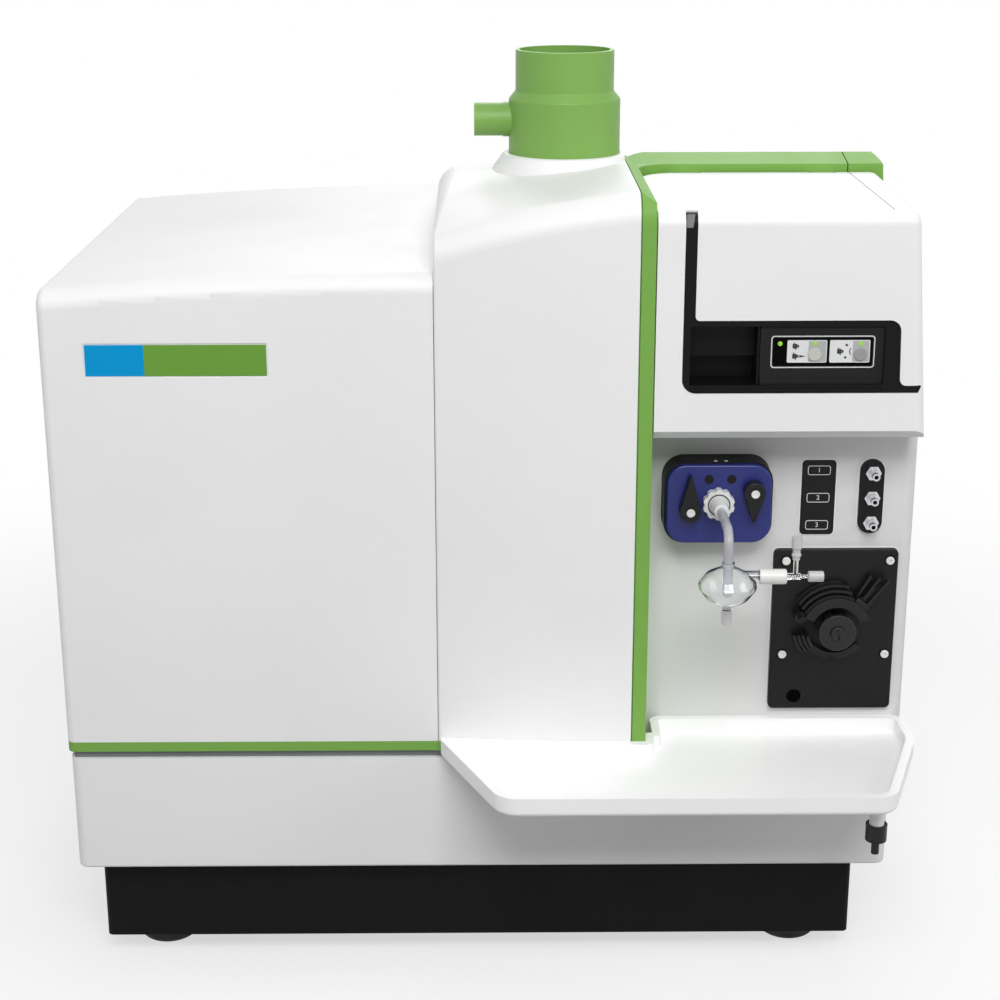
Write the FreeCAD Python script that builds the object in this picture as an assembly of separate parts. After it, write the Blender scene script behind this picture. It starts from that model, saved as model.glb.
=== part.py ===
import FreeCAD, Part
import math
import os

# Benchtop plasma mass spectrometer, in millimetres.
# X runs to the right, Y to the back and Z up. The origin is on the bench, under the middle of the box.

os.makedirs("parts", exist_ok=True)

Vector = FreeCAD.Vector

# Overall stance
TOTAL_WIDTH = 810.0
TRAY_REACH = 135.0
BODY_DEPTH = 525.0
REAR_REACH = 40.0
LEFT = -TOTAL_WIDTH / 2
RIGHT = TOTAL_WIDTH / 2
FRONT = TRAY_REACH - (TRAY_REACH + BODY_DEPTH + REAR_REACH) / 2
REAR = FRONT + BODY_DEPTH

# Stack of the base, from the bench up
FOOT_H = 23.7
PLINTH_H = 87.7
LOWER_H = 117.0
RAIL_H = 7.3
TRIM_H = 9.8
PLINTH_TOP = FOOT_H + PLINTH_H
LOWER_TOP = PLINTH_TOP + LOWER_H
RAIL_TOP = LOWER_TOP + RAIL_H
TRIM_TOP = RAIL_TOP + TRIM_H

# Walls and gaps
WALL = 4.0
SHEET = 3.0
SEAM = 0.4
RUN = 0.06

# Feet and plinth
FOOT_R = 34.0
FOOT_BOTTOM_R = 28.0
FOOT_INSET_X = 54.0
FOOT_INSET_Y = 51.0
PLINTH_LEFT = LEFT + 21.0
PLINTH_RIGHT = RIGHT - 47.0
PLINTH_FRONT = FRONT + 24.0
PLINTH_REAR = REAR - 25.0
PLINTH_R = 6.0

# Lower cover
LOWER_LEFT = LEFT + 2.0
LOWER_RIGHT = RIGHT - 19.0
LOWER_R = 10.0
FLANGE_FRONT = 60.0
FLANGE_SIDE = 20.0

# Left cabinet cover
SEAM_X = RIGHT - 455.0
CABINET_LEFT_TOP = 683.0
CABINET_RIGHT_TOP = 698.0
CABINET_FRONT_R = 18.0
CABINET_SIDE_R = 7.5
BADGE_X = (LEFT + 41.5, LEFT + 204.5)
BADGE_Z = (605.5, 634.0)
BADGE_BORDER = 1.5
BADGE_T = 0.8

# Tower cover and its roof
TOWER_RIGHT = RIGHT - 272.0
TOWER_BULGE = 13.0
TOWER_START = 1.0
TOWER_LEFT_TOP = 728.0
TOWER_RIGHT_TOP = 770.0
TOWER_CROWN = 6.0
RIDGE_Y = FRONT + 245.0
RIDGE_LEFT_TOP = 756.5
RIDGE_CROWN = 0.5
REAR_LEFT_TOP = 714.0
REAR_RIGHT_TOP = 741.0
TOWER_FRONT_R = 24.0
TOWER_SIDE_R = 3.0
SHOULDER_R = 18.0
ROOF_BEYOND = 60.0
ROOF_FLAT = 345.0
ROOF_SLOPE = 75.0 / 180.0
WINDOW_MARGIN = 60.0
WINDOW_LOW = TRIM_TOP + 20.0
WINDOW_HIGH = CABINET_LEFT_TOP - 30.0

# Exhaust pipe
PIPE_X = TOWER_RIGHT - 58.4
PIPE_Y = FRONT + 227.0
PIPE_BOTTOM = 742.0
PIPE_LOWER_H = 85.0
PIPE_TAPER_H = 8.0
PIPE_UPPER_H = 39.0
PIPE_STEP = PIPE_BOTTOM + PIPE_LOWER_H
PIPE_NECK = PIPE_STEP + PIPE_TAPER_H
PIPE_TOP = PIPE_NECK + PIPE_UPPER_H
PIPE_LOWER_R = 54.5
PIPE_UPPER_R = 48.0
PIPE_WALL = 4.0
STUB_R = 16.0
STUB_Z = PIPE_STEP - 20.0
STUB_REACH = 88.5
STUB_SEAT = 28.0
STUB_ROOT_R = STUB_R + 0.8
COLLAR_TOP = 775.0
COLLAR_BASE_R = 86.0
COLLAR_TOP_R = 60.0
COLLAR_FOOT = 738.0
DUCT_Z = (500.0, 540.0)

# Green accent band
BAND_W = 14.0
BAND_RIGHT = TOWER_RIGHT + BAND_W
BAND_FRONT = FRONT - TOWER_BULGE
BAND_DEPTH = 60.0
BAND_WALL = 3.0
BAND_INNER_TOP = 761.5
BAND_LOW = 738.0
BAND_FRONT_R = 26.0
BAND_BACK_FRONT = FRONT + 235.2
BAND_BACK_REAR = FRONT + 275.0
BAND_OUTER_R = 38.0
BAND_INNER_R = 32.0
BAND_END_W = 48.0
BAND_SPLIT = RIGHT - BAND_END_W
BAND_END_T = 8.0
BAND_PROUD = 1.5
BAND_TOP_PROUD = 5.0
BAND_END_R = 12.0
GROOVE_W = 1.3
GROOVE_DEPTH = 3.0

# Hood over the torch bay
HOOD_LEFT = BAND_RIGHT + 1.0
HOOD_FRONT = BAND_FRONT
HOOD_TOP = 754.0
HOOD_EDGE = 555.5
HOOD_BOTTOM = 547.0
HOOD_CHAMFER = 10.0
HOOD_REAR = FRONT + 229.0
HOOD_FRONT_R = 12.0
HOOD_SIDE_R = 11.0
HOOD_RIGHT_EDGE = RIGHT - 11.0
HOOD_RIGHT_TOP = RIGHT - 26.0
HOOD_TAPER = 8.8
HOOD_LIP_REAR = FRONT + 45.5
CAP_FRONT = FRONT - 1.5
HINGE_Y = FRONT + 231.0
HINGE_Z = 750.0
HINGE_PIN_R = 2.0
HINGE_KNUCKLE_R = 3.4
HINGE_X = (BAND_RIGHT + 49.0, RIGHT - 75.0)
HINGE_KNUCKLE_W = 20.0
HINGE_EAR = 3.0
HINGE_NOTCH = 5.0
HOOD_CORNER_R = BAND_INNER_R + 10.0
HOOD_LIP_GAP = 3.2
CAP_SEAM = 0.8

# Bezel, finger pocket and control panel in the hood's front
BEZEL_RECESS = 1.5
BEZEL_T = 3.0
SLOT_X = (BAND_RIGHT + 25.4, BAND_RIGHT + 35.8)
BEZEL_Z = (590.8, 657.4)
SLOT_REACH = 1.0
BEZEL_RIGHT = RIGHT - 39.0
BEZEL_TAIL = RIGHT - 17.0
BEZEL_TAIL_Z = 597.5
WINDOW_X = (BAND_RIGHT + 32.0, RIGHT - 52.0)
WINDOW_Z = (598.0, 652.0)
POCKET_RIGHT = BAND_RIGHT + 94.5
POCKET_DEPTH = 38.0
POCKET_WALL = 2.0
PANEL_X = (POCKET_RIGHT + 0.5, RIGHT - 53.0)
PANEL_Z = (604.5, 650.0)
PANEL_RECESS = 4.0
PANEL_T = 12.0
LABEL_Z = (618.0, 639.5)
LABEL_X = ((RIGHT - 139.5, RIGHT - 103.0), (RIGHT - 101.5, RIGHT - 64.5))
LABEL_T = 0.6
BUTTON_X = (RIGHT - 114.4, RIGHT - 73.3)
BUTTON_Z = 626.0
BUTTON_R = 6.0
BUTTON_TRAVEL = 0.8
BUTTON_PROUD = 1.6
LAMP_X = (RIGHT - 145.5, *BUTTON_X)
LAMP_Z = 635.8
LAMP_R = 2.2

# Right body
FACE_Y = FRONT + 46.3
BODY_RIGHT = RIGHT - BAND_PROUD
BODY_EDGE_R = 12.0
FACE_TOP = 600.0
BACK_ROOF = 752.0
BACK_SIDE_TOP = RIGHT - 15.5
BACK_CORNER_R = 17.0

# Chassis
DECK_T = 4.0
POST = 25.0
BENCH_Z = 400.0
BENCH_X = (LEFT + 75.0, RIGHT - 115.0)
BENCH_Y = (FRONT + 60.0, FRONT + 440.0)

# Torch mount on the front panel
TORCH_X = BAND_RIGHT + 65.0
TORCH_Z = 479.0
MOUNT_X = (TORCH_X - 48.0, TORCH_X + 50.0)
MOUNT_Z = (TORCH_Z - 40.0, TORCH_Z + 36.0)
MOUNT_R = 18.0
MOUNT_FACE = FRONT + 16.0
MOUNT_PLATE_T = 6.0
MOUNT_GROW = 1.5
MOUNT_END = FRONT + 62.0
PLUG_X = (TORCH_X - 9.0, TORCH_X + 12.0)
PLUG_Z = TORCH_Z + 22.5
PLUG_R = 4.2
LEVER_T = 12.0
LEVER_PIVOTS = (
    (TORCH_X - 26.5, TORCH_Z - 6.0, 31.6),
    (TORCH_X + 32.7, TORCH_Z + 12.0, -27.0),
)
LEVER_R = 10.0
LEVER_TIP_R = 1.5
LEVER_PIN_R = 4.0
LEVER_HEAD_R = 4.4
NUT_R = 14.7
NUT_LOBES = 10
NUT_T = 9.0
NUT_BORE = 7.0
HUB_R = 6.6
HUB_REACH = 20.0

# Sample line in front of the mount
ELBOW_R = 4.25
ELBOW_BORE = 2.6
ELBOW_BEND = 16.0
CHAMBER_Y = FRONT - 72.0
CHAMBER_DROP = 50.0
CHAMBER_WIDE_Z = TORCH_Z - CHAMBER_DROP
CHAMBER_TOP = CHAMBER_WIDE_Z + 22.0
CHAMBER_R = 27.25
CHAMBER_LOW = CHAMBER_WIDE_Z - 21.0
CHAMBER_NECK_LOW = CHAMBER_WIDE_Z - 30.0
CHAMBER_WALL = 1.5
ELBOW_END = CHAMBER_WIDE_Z - 10.0
NEB_Z = CHAMBER_WIDE_Z + 8.6
NEB_R = 3.0

# Plates on the front panel
GAS_LABEL_X = (RIGHT - 111.0, RIGHT - 79.0)
GAS_LABEL_Z = (437.6, 511.0)
GAS_PORT_X = (RIGHT - 56.5, RIGHT - 33.5)
GAS_PORT_Z = (439.0, 512.0)
GAS_Z = (500.0, 475.5, 451.0)
GAS_HEX = 13.0
PLATE_T = 3.0
PUMP_PLATE_X = (RIGHT - 134.7, RIGHT - 16.0)
PUMP_PLATE_Z = (260.0, 423.5)
PUMP_PLATE_T = 6.0
PUMP_X = RIGHT - 75.0
PUMP_Z = 348.0
PUMP_SCREWS = [(RIGHT - back, z) for z in (412.5, 317.0) for back in (123.0, 24.0)]
ROTOR_R = 18.0
ROTOR_PROUD = 25.0
SHOE_IN = 23.5
SHOE_OUT = 33.0
SHOE_T = 18.0
PUMP_SHAFT_R = 4.0
DRAIN_HOLE = (RIGHT - 110.0, 273.0)
DRAIN_HOLE_R = 7.0

# Drip tray
TRAY_TOP = 250.4
TRAY_LOW = 231.7
TRAY_FLOOR = 3.5
TRAY_RIM = 8.0
TRAY_DRAIN = (RIGHT - 52.0, FRONT - 100.0)
STUB_LOW = 200.0
DRAIN_STUB_R = 6.85
DRAIN_BORE = 4.0
CAP_R = 9.85
CAP_BARB_R = 3.65

# Inside the torch bay
BAY_X = (BAND_RIGHT + 7.0, RIGHT - 109.0)
BAY_Y = (FACE_Y + WALL + SEAM, FRONT + 188.0)
BAY_TOP = 640.0
TUBE_R = 10.0
TUBE_END = FRONT + 152.0
COIL_R = 15.0
COIL_WIRE = 1.8
COIL_TURNS = 3
COIL_PITCH = 7.0
COIL_Y = FRONT + 128.0
CONE_TIP = FRONT + 166.0
CONE_R = 15.0

# Vacuum side
HOUSING_X = (TORCH_X - 52.0, TORCH_X + 52.0)
CHAMBER_X = (LEFT + 85.0, RIGHT - 129.0)
VAC_Y = (FRONT + 238.0, FRONT + 420.0)
VAC_TOP = 558.0
VAC_WALL = 12.0
ION_Y = FRONT + 330.0
TURBO_X = LEFT + 255.0
TURBO_R = 50.0
TURBO_LOW = 262.0

# Rear panel fittings
FAN_X = RIGHT - 75.0
BOARD_INSET = 75.0
SUPPLY_W = 270.0
SUPPLY_H = 80.0
CONTROL_W = 240.0
CONTROL_H = 130.0
FAN_Z = 560.0
FAN_SIZE = 120.0
FAN_T = 25.0
FAN_HUB_R = 20.0
FAN_SHAFT_R = 3.0
INLET_X = LEFT + 75.0
INLET_Z = 300.0
PORT_X = TURBO_X
PORT_Z = TURBO_LOW + 20.0
PORT_R = 13.0


def box(x0, x1, y0, y1, z0, z1):
    return Part.makeBox(x1 - x0, y1 - y0, z1 - z0, Vector(x0, y0, z0))


def rod(radius, start, end):
    start = Vector(*start)
    end = Vector(*end)
    return Part.makeCylinder(radius, (end - start).Length, start, end - start)


def ring(outer, inner, start, end):
    return rod(outer, start, end).cut(rod(inner, start, end))


def rectangle(a0, a1, b0, b1):
    return [(a0, b0), (a1, b0), (a1, b1), (a0, b1)]


def outline(points, radii, place):
    """Closed wire through 2-D points, with each corner rounded by its radius."""
    count = len(points)
    if not isinstance(radii, (list, tuple)):
        radii = [radii] * count
    corners = []
    for i, radius in enumerate(radii):
        here = Vector(points[i][0], points[i][1], 0)
        before = Vector(points[i - 1][0], points[i - 1][1], 0)
        after = Vector(points[(i + 1) % count][0], points[(i + 1) % count][1], 0)
        if radius <= 0:
            corners.append((here, None, here))
            continue
        back = (before - here).normalize()
        on = (after - here).normalize()
        half = back.getAngle(on) / 2
        reach = radius / math.tan(half)
        middle = here + (back + on).normalize() * (radius / math.sin(half) - radius)
        corners.append((here + back * reach, middle, here + on * reach))
    edges = []
    for i, (start, middle, end) in enumerate(corners):
        if middle is not None:
            edges.append(Part.Arc(place(start), place(middle), place(end)).toShape())
        following = corners[(i + 1) % count][0]
        if (following - end).Length > 1e-6:
            edges.append(Part.LineSegment(place(end), place(following)).toShape())
    return Part.Wire(edges)


def plate_xy(points, radii, z0, z1):
    wire = outline(points, radii, lambda p: Vector(p.x, p.y, z0))
    return Part.Face(wire).extrude(Vector(0, 0, z1 - z0))


def plate_xz(points, radii, y0, y1):
    wire = outline(points, radii, lambda p: Vector(p.x, y0, p.y))
    return Part.Face(wire).extrude(Vector(0, y1 - y0, 0))


def plate_yz(points, radii, x0, x1):
    wire = outline(points, radii, lambda p: Vector(x0, p.x, p.y))
    return Part.Face(wire).extrude(Vector(x1 - x0, 0, 0))


def turned(points, radii, base, axis):
    """Solid of revolution: each point is (radius, distance along the axis from the base)."""
    base = Vector(*base)
    axis = Vector(*axis)
    side = Vector(1, 0, 0) if abs(axis.x) < 0.5 else Vector(0, 1, 0)
    wire = outline(points, radii, lambda p: base + side * p.x + axis * p.y)
    return Part.Face(wire).revolve(base, axis, 360)


def edges_where(shape, test):
    """Edges for which the test holds at five points along them."""
    edges = [e for e in shape.Edges if not e.Degenerated and e.Length > 0.01]
    return [e for e in edges if all(test(p) for p in e.discretize(5))]


def near(a, b):
    return abs(a - b) < 0.05


def fused(shapes):
    whole = shapes[0].fuse(shapes[1:]) if len(shapes) > 1 else shapes[0]
    return whole.removeSplitter()


def save(name, *solids):
    bodies = []
    for solid in solids:
        bodies.extend(solid.Solids)
    shape = bodies[0] if len(bodies) == 1 else Part.makeCompound(bodies)
    shape.exportStep("parts/" + name + ".step")


# Base: feet, plinth, chassis, lower cover, rail and trim

def foot_places():
    xs = (PLINTH_LEFT + FOOT_INSET_X, PLINTH_RIGHT - FOOT_INSET_X)
    ys = (PLINTH_FRONT + FOOT_INSET_Y, PLINTH_REAR - FOOT_INSET_Y)
    return [(x, y) for y in ys for x in xs]


def foot(x, y):
    profile = [(0, 0), (FOOT_BOTTOM_R, 0), (FOOT_R, FOOT_H), (0, FOOT_H)]
    return turned(profile, [0, 7.0, 0, 0], (x, y, 0), (0, 0, 1))


def base_plinth():
    outer = plate_xy(
        rectangle(PLINTH_LEFT, PLINTH_RIGHT, PLINTH_FRONT, PLINTH_REAR), PLINTH_R, FOOT_H, PLINTH_TOP
    )
    inner = plate_xy(
        rectangle(
            PLINTH_LEFT + SHEET, PLINTH_RIGHT - SHEET, PLINTH_FRONT + SHEET, PLINTH_REAR - SHEET
        ),
        PLINTH_R - SHEET,
        FOOT_H + SHEET,
        PLINTH_TOP + 1,
    )
    return outer.cut(inner)


def chassis_frame():
    """Welded frame: lower deck, posts, upper deck and the raised bench for the vacuum side."""
    gap = WALL + 0.6
    lower = lower_block(gap, PLINTH_TOP, PLINTH_TOP + DECK_T)
    low, high = PLINTH_TOP + DECK_T, LOWER_TOP
    edge = FLANGE_SIDE + 8.0
    xs = (LOWER_LEFT + edge, LOWER_RIGHT - edge - POST)
    ys = (FRONT + FLANGE_FRONT + 8.0, REAR - edge - POST)
    pieces = [lower]
    for x in xs:
        for y in ys:
            pieces.append(box(x, x + POST, y, y + POST, low, high))
    upper = plate_xy(
        [
            (LOWER_LEFT + 15.0, FRONT + 15.0),
            (TOWER_RIGHT - 13.0, FRONT + 15.0),
            (TOWER_RIGHT - 13.0, FACE_Y + WALL + 5.0),
            (LOWER_RIGHT - 8.0, FACE_Y + WALL + 5.0),
            (LOWER_RIGHT - 8.0, REAR - 12.0),
            (LOWER_LEFT + 15.0, REAR - 12.0),
        ],
        0,
        LOWER_TOP,
        LOWER_TOP + DECK_T,
    )
    pieces.append(upper)
    bench = box(*BENCH_X, *BENCH_Y, BENCH_Z - DECK_T, BENCH_Z)
    bench = bench.cut(rod(TURBO_R + 6.0, (TURBO_X, ION_Y, BENCH_Z - 10), (TURBO_X, ION_Y, BENCH_Z + 10)))
    pieces.append(bench)
    for x in (BENCH_X[0], sum(BENCH_X) / 2, BENCH_X[1] - POST):
        for y in (FRONT + 245.0, BENCH_Y[1] - POST):
            pieces.append(box(x, x + POST, y, y + POST, LOWER_TOP + DECK_T, BENCH_Z - DECK_T))
    return fused(pieces)


def lower_block(inset, z0, z1):
    points = rectangle(LOWER_LEFT + inset, LOWER_RIGHT - inset, FRONT + inset, REAR - inset)
    return plate_xy(points, LOWER_R - inset, z0, z1)


def lower_cover():
    outer = lower_block(0, PLINTH_TOP, LOWER_TOP)
    inner = lower_block(WALL, PLINTH_TOP - 1, LOWER_TOP - WALL)
    hole = box(
        LOWER_LEFT + FLANGE_SIDE,
        LOWER_RIGHT - FLANGE_SIDE,
        FRONT + FLANGE_FRONT,
        REAR - FLANGE_SIDE,
        LOWER_TOP - WALL - 1,
        LOWER_TOP + 1,
    )
    bottom = edges_where(outer, lambda p: near(p.z, PLINTH_TOP))
    outer = outer.makeFillet(3.0, bottom)
    return outer.cut(inner).cut(hole)


def tower_plan(grow, z0, z1, beyond=0.0):
    """Plan of the tower, with its bowed front, grown outwards by grow and run on beyond its rear."""
    x0 = SEAM_X - grow
    x1 = TOWER_RIGHT + grow
    y_left = FRONT - TOWER_START - grow
    y_right = FRONT - TOWER_BULGE - grow
    y_rear = REAR + grow + beyond
    middle = (x0 + x1) / 2
    y_middle = y_right + (y_left - y_right) / 4
    corners = [(x0, y_left), (x1, y_right), (x1, y_rear), (x0, y_rear)]
    points = [Vector(x, y, z0) for x, y in corners]
    edges = [Part.Arc(points[0], Vector(middle, y_middle, z0), points[1]).toShape()]
    edges += [Part.LineSegment(points[i], points[(i + 1) % 4]).toShape() for i in (1, 2, 3)]
    return Part.Face(Part.Wire(edges)).extrude(Vector(0, 0, z1 - z0))


def strip_plan(inset, z0, z1):
    """Plan of cabinet, tower and band foot together, moved inwards by inset from front and left."""
    cabinet = plate_xy(
        rectangle(LEFT + inset, TOWER_RIGHT, FRONT + inset, REAR - 2.0),
        [max(CABINET_SIDE_R - inset, 0), 0, 0, 0],
        z0,
        z1,
    )
    tower = tower_plan(-inset, z0, z1)
    return fused([cabinet, tower])


def l_ring(outset, width, z0, z1):
    """Strip that follows the left side and the front, outset in from the covers' faces."""
    outer = strip_plan(outset, z0, z1)
    inner = box(
        LEFT + outset + width, RIGHT, FRONT + outset + width, REAR + 1, z0 - 1, z1 + 1
    )
    return outer.cut(inner).common(box(LEFT, TOWER_RIGHT, FRONT - 50, REAR, z0, z1))


def shadow_rail():
    """Recessed spacer under the trim: it rests on the lower cover's flange."""
    x0, y0 = LEFT + 6.0, FRONT + 4.0
    side = box(x0, x0 + 6.0, y0, REAR - 4.0, LOWER_TOP, RAIL_TOP)
    front = box(x0, BAND_RIGHT, y0, y0 + 6.0, LOWER_TOP, RAIL_TOP)
    return fused([side, front])


def base_trim():
    return l_ring(0.0, 14.0, RAIL_TOP, TRIM_TOP)


# Covers on the left: cabinet and tower

def arched_block(x0, x1, y0, y1, z0, left_top, right_top, crown):
    """Block whose roof is an arc from its left top to its right top."""
    middle = Vector((x0 + x1) / 2, y0, (left_top + right_top) / 2 + crown)
    a, b = Vector(x0, y0, z0), Vector(x1, y0, z0)
    c, d = Vector(x1, y0, right_top), Vector(x0, y0, left_top)
    edges = [
        Part.LineSegment(a, b).toShape(),
        Part.LineSegment(b, c).toShape(),
        Part.Arc(c, middle, d).toShape(),
        Part.LineSegment(d, a).toShape(),
    ]
    return Part.Face(Part.Wire(edges)).extrude(Vector(0, y1 - y0, 0))


def round_left(block, x0, y1, z0, radius):
    """Round the chain of edges round the block's left face, but not those at its rear and foot."""
    chain = edges_where(block, lambda p: near(p.x, x0))
    chain = [e for e in chain if not all(near(p.y, y1) for p in e.discretize(3))]
    chain = [e for e in chain if not all(near(p.z, z0) for p in e.discretize(3))]
    return block.makeFillet(radius, chain)


def cabinet_block(inset, through):
    x0, x1 = LEFT + inset, SEAM_X - SEAM + through
    y0, y1 = FRONT + inset, REAR + through
    z0 = TRIM_TOP - through
    rise = CABINET_RIGHT_TOP - CABINET_LEFT_TOP
    block = arched_block(
        x0, x1, y0, y1, z0, CABINET_LEFT_TOP - inset, CABINET_RIGHT_TOP - inset, rise / 4
    )
    top = edges_where(block, lambda p: near(p.y, y0) and p.z > CABINET_LEFT_TOP - inset - 1)
    block = block.makeFillet(CABINET_FRONT_R - inset, top)
    return round_left(block, x0, y1, z0, CABINET_SIDE_R - inset)


def badge_plate(grow, depth):
    x0, x1 = BADGE_X
    z0, z1 = BADGE_Z
    return box(x0 - grow, x1 + grow, FRONT - 1, FRONT + depth, z0 - grow, z1 + grow)


def left_cabinet_cover():
    cover = cabinet_block(0, 0).cut(cabinet_block(WALL, 20.0))
    return cover.cut(badge_plate(BADGE_BORDER, 1.0))


def name_badge():
    x0, x1 = BADGE_X
    z0, z1 = BADGE_Z
    return box(x0, x1, FRONT + 1.0 - BADGE_T, FRONT + 1.0, z0, z1)


def slope_cutter(start, top, drop_from):
    """Everything above the plane that falls towards the rear from (start, top)."""
    run = REAR + 60.0 - start
    points = [(start, top), (start + run, top - run * ROOF_SLOPE), (start + run, drop_from), (start, drop_from)]
    return plate_yz(points, 0, LEFT - 50, RIGHT + 50)


def tower_block(inset, through):
    plan = tower_plan(-inset, TRIM_TOP - through, TOWER_RIGHT_TOP + 20, through + inset)
    block = plan.common(roof_volume(TRIM_TOP - through - 1, inset))
    front = edges_where(
        block,
        lambda p: p.y < FRONT - TOWER_START + inset + 0.5 and p.z > TOWER_LEFT_TOP - inset - 2,
    )
    block = block.makeFillet(TOWER_FRONT_R - inset, front)
    if inset == 0:
        block = round_left(block, SEAM_X, REAR, TRIM_TOP - through, TOWER_SIDE_R)
    return block.cut(shoulder_cutter(inset))


def shoulder_section(y, left_top, right_top, crown, radius):
    """Outline of what is taken off the left shoulder at y, above an arc of the radius."""
    x = SEAM_X
    rise = (right_top - left_top + 4 * crown) / (TOWER_RIGHT - SEAM_X)
    bend = radius * (1 - math.sqrt(0.5))
    a, b = Vector(x - SHOULDER_R, y, left_top - radius), Vector(x, y, left_top - radius)
    c = Vector(x + radius, y, left_top + rise * radius + 0.2)
    d, e = Vector(c.x, y, left_top + SHOULDER_R), Vector(a.x, y, left_top + SHOULDER_R)
    edges = [
        Part.LineSegment(a, b).toShape(),
        Part.Arc(b, Vector(x + bend, y, left_top - bend), c).toShape(),
        Part.LineSegment(c, d).toShape(),
        Part.LineSegment(d, e).toShape(),
        Part.LineSegment(e, a).toShape(),
    ]
    return Part.Wire(edges)


def shoulder_cutter(inset):
    """What rounds the left shoulder, from nothing at the front to its full radius at the ridge."""
    start_r = TOWER_SIDE_R - 1.0
    start_y = FRONT + TOWER_FRONT_R
    share = (start_y - FRONT) / (RIDGE_Y - FRONT)
    start_top = TOWER_LEFT_TOP + (RIDGE_LEFT_TOP - TOWER_LEFT_TOP) * share
    start_crown = TOWER_CROWN + (RIDGE_CROWN - TOWER_CROWN) * share
    left_end, right_end = rear_tops()
    sections = [
        shoulder_section(start_y, start_top, TOWER_RIGHT_TOP, start_crown, start_r),
        shoulder_section(RIDGE_Y, RIDGE_LEFT_TOP, TOWER_RIGHT_TOP, RIDGE_CROWN, SHOULDER_R),
        shoulder_section(REAR + ROOF_BEYOND, left_end, right_end, RIDGE_CROWN, SHOULDER_R),
    ]
    cutter = Part.makeLoft(sections, True, True)
    cutter.translate(Vector(inset, 0, -inset))
    return cutter


def rear_tops():
    """Heights of the roof's left and right edge where its volume ends behind the rear."""
    run = (REAR - RIDGE_Y + ROOF_BEYOND) / (REAR - RIDGE_Y)
    left = RIDGE_LEFT_TOP - (RIDGE_LEFT_TOP - REAR_LEFT_TOP) * run
    right = TOWER_RIGHT_TOP - (TOWER_RIGHT_TOP - REAR_RIGHT_TOP) * run
    return left, right


def roof_section(y, z0, left_top, right_top, crown):
    """Outline across the tower at y, closed by an arc that runs on past both of its sides."""
    middle = (SEAM_X + TOWER_RIGHT) / 2
    half = (TOWER_RIGHT - SEAM_X) / 2
    reach = half + ROOF_BEYOND

    def height(t):
        return (left_top + right_top) / 2 + t * (right_top - left_top) / 2 + crown * (1 - t * t)

    a, b = Vector(middle - reach, y, z0), Vector(middle + reach, y, z0)
    c = Vector(middle + reach, y, height(reach / half))
    d = Vector(middle - reach, y, height(-reach / half))
    edges = [
        Part.LineSegment(a, b).toShape(),
        Part.LineSegment(b, c).toShape(),
        Part.Arc(c, Vector(middle, y, height(0)), d).toShape(),
        Part.LineSegment(d, a).toShape(),
    ]
    return Part.Wire(edges)


def roof_volume(z0, inset):
    """Everything under the roof: it rises from the front to the ridge and falls to the rear."""
    run = (RIDGE_Y - FRONT + ROOF_BEYOND) / (RIDGE_Y - FRONT)
    front_left = RIDGE_LEFT_TOP - (RIDGE_LEFT_TOP - TOWER_LEFT_TOP) * run
    front_crown = RIDGE_CROWN - (RIDGE_CROWN - TOWER_CROWN) * run
    left_end, right_end = rear_tops()
    top = TOWER_RIGHT_TOP - inset
    sections = [
        roof_section(FRONT - ROOF_BEYOND, z0, front_left - inset, top, front_crown),
        roof_section(RIDGE_Y, z0, RIDGE_LEFT_TOP - inset, top, RIDGE_CROWN),
        roof_section(REAR + ROOF_BEYOND, z0, left_end - inset, right_end - inset, RIDGE_CROWN),
    ]
    return Part.makeLoft(sections, True, True)


def collar():
    """Raised cone on the roof around the pipe, cut off at the band."""
    points = [(0, COLLAR_FOOT), (COLLAR_BASE_R, COLLAR_FOOT), (COLLAR_TOP_R, COLLAR_TOP), (0, COLLAR_TOP)]
    cone = turned(points, [0, 0, 5.0, 0], (PIPE_X, PIPE_Y, 0), (0, 0, 1))
    return cone.common(box(SEAM_X, TOWER_RIGHT, FRONT, REAR, COLLAR_FOOT, COLLAR_TOP + 1))


def tower_cover():
    outer = fused([tower_block(0, 0), collar()])
    cover = outer.cut(tower_block(WALL, 20.0))
    hole = rod(PIPE_LOWER_R + SEAM, (PIPE_X, PIPE_Y, COLLAR_FOOT - 40), (PIPE_X, PIPE_Y, COLLAR_TOP + 5))
    window = box(
        SEAM_X - 5,
        TOWER_RIGHT + 5,
        FRONT + WINDOW_MARGIN,
        REAR + 5,
        WINDOW_LOW,
        WINDOW_HIGH,
    )
    return cover.cut(hole).cut(window)


# Exhaust

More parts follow.
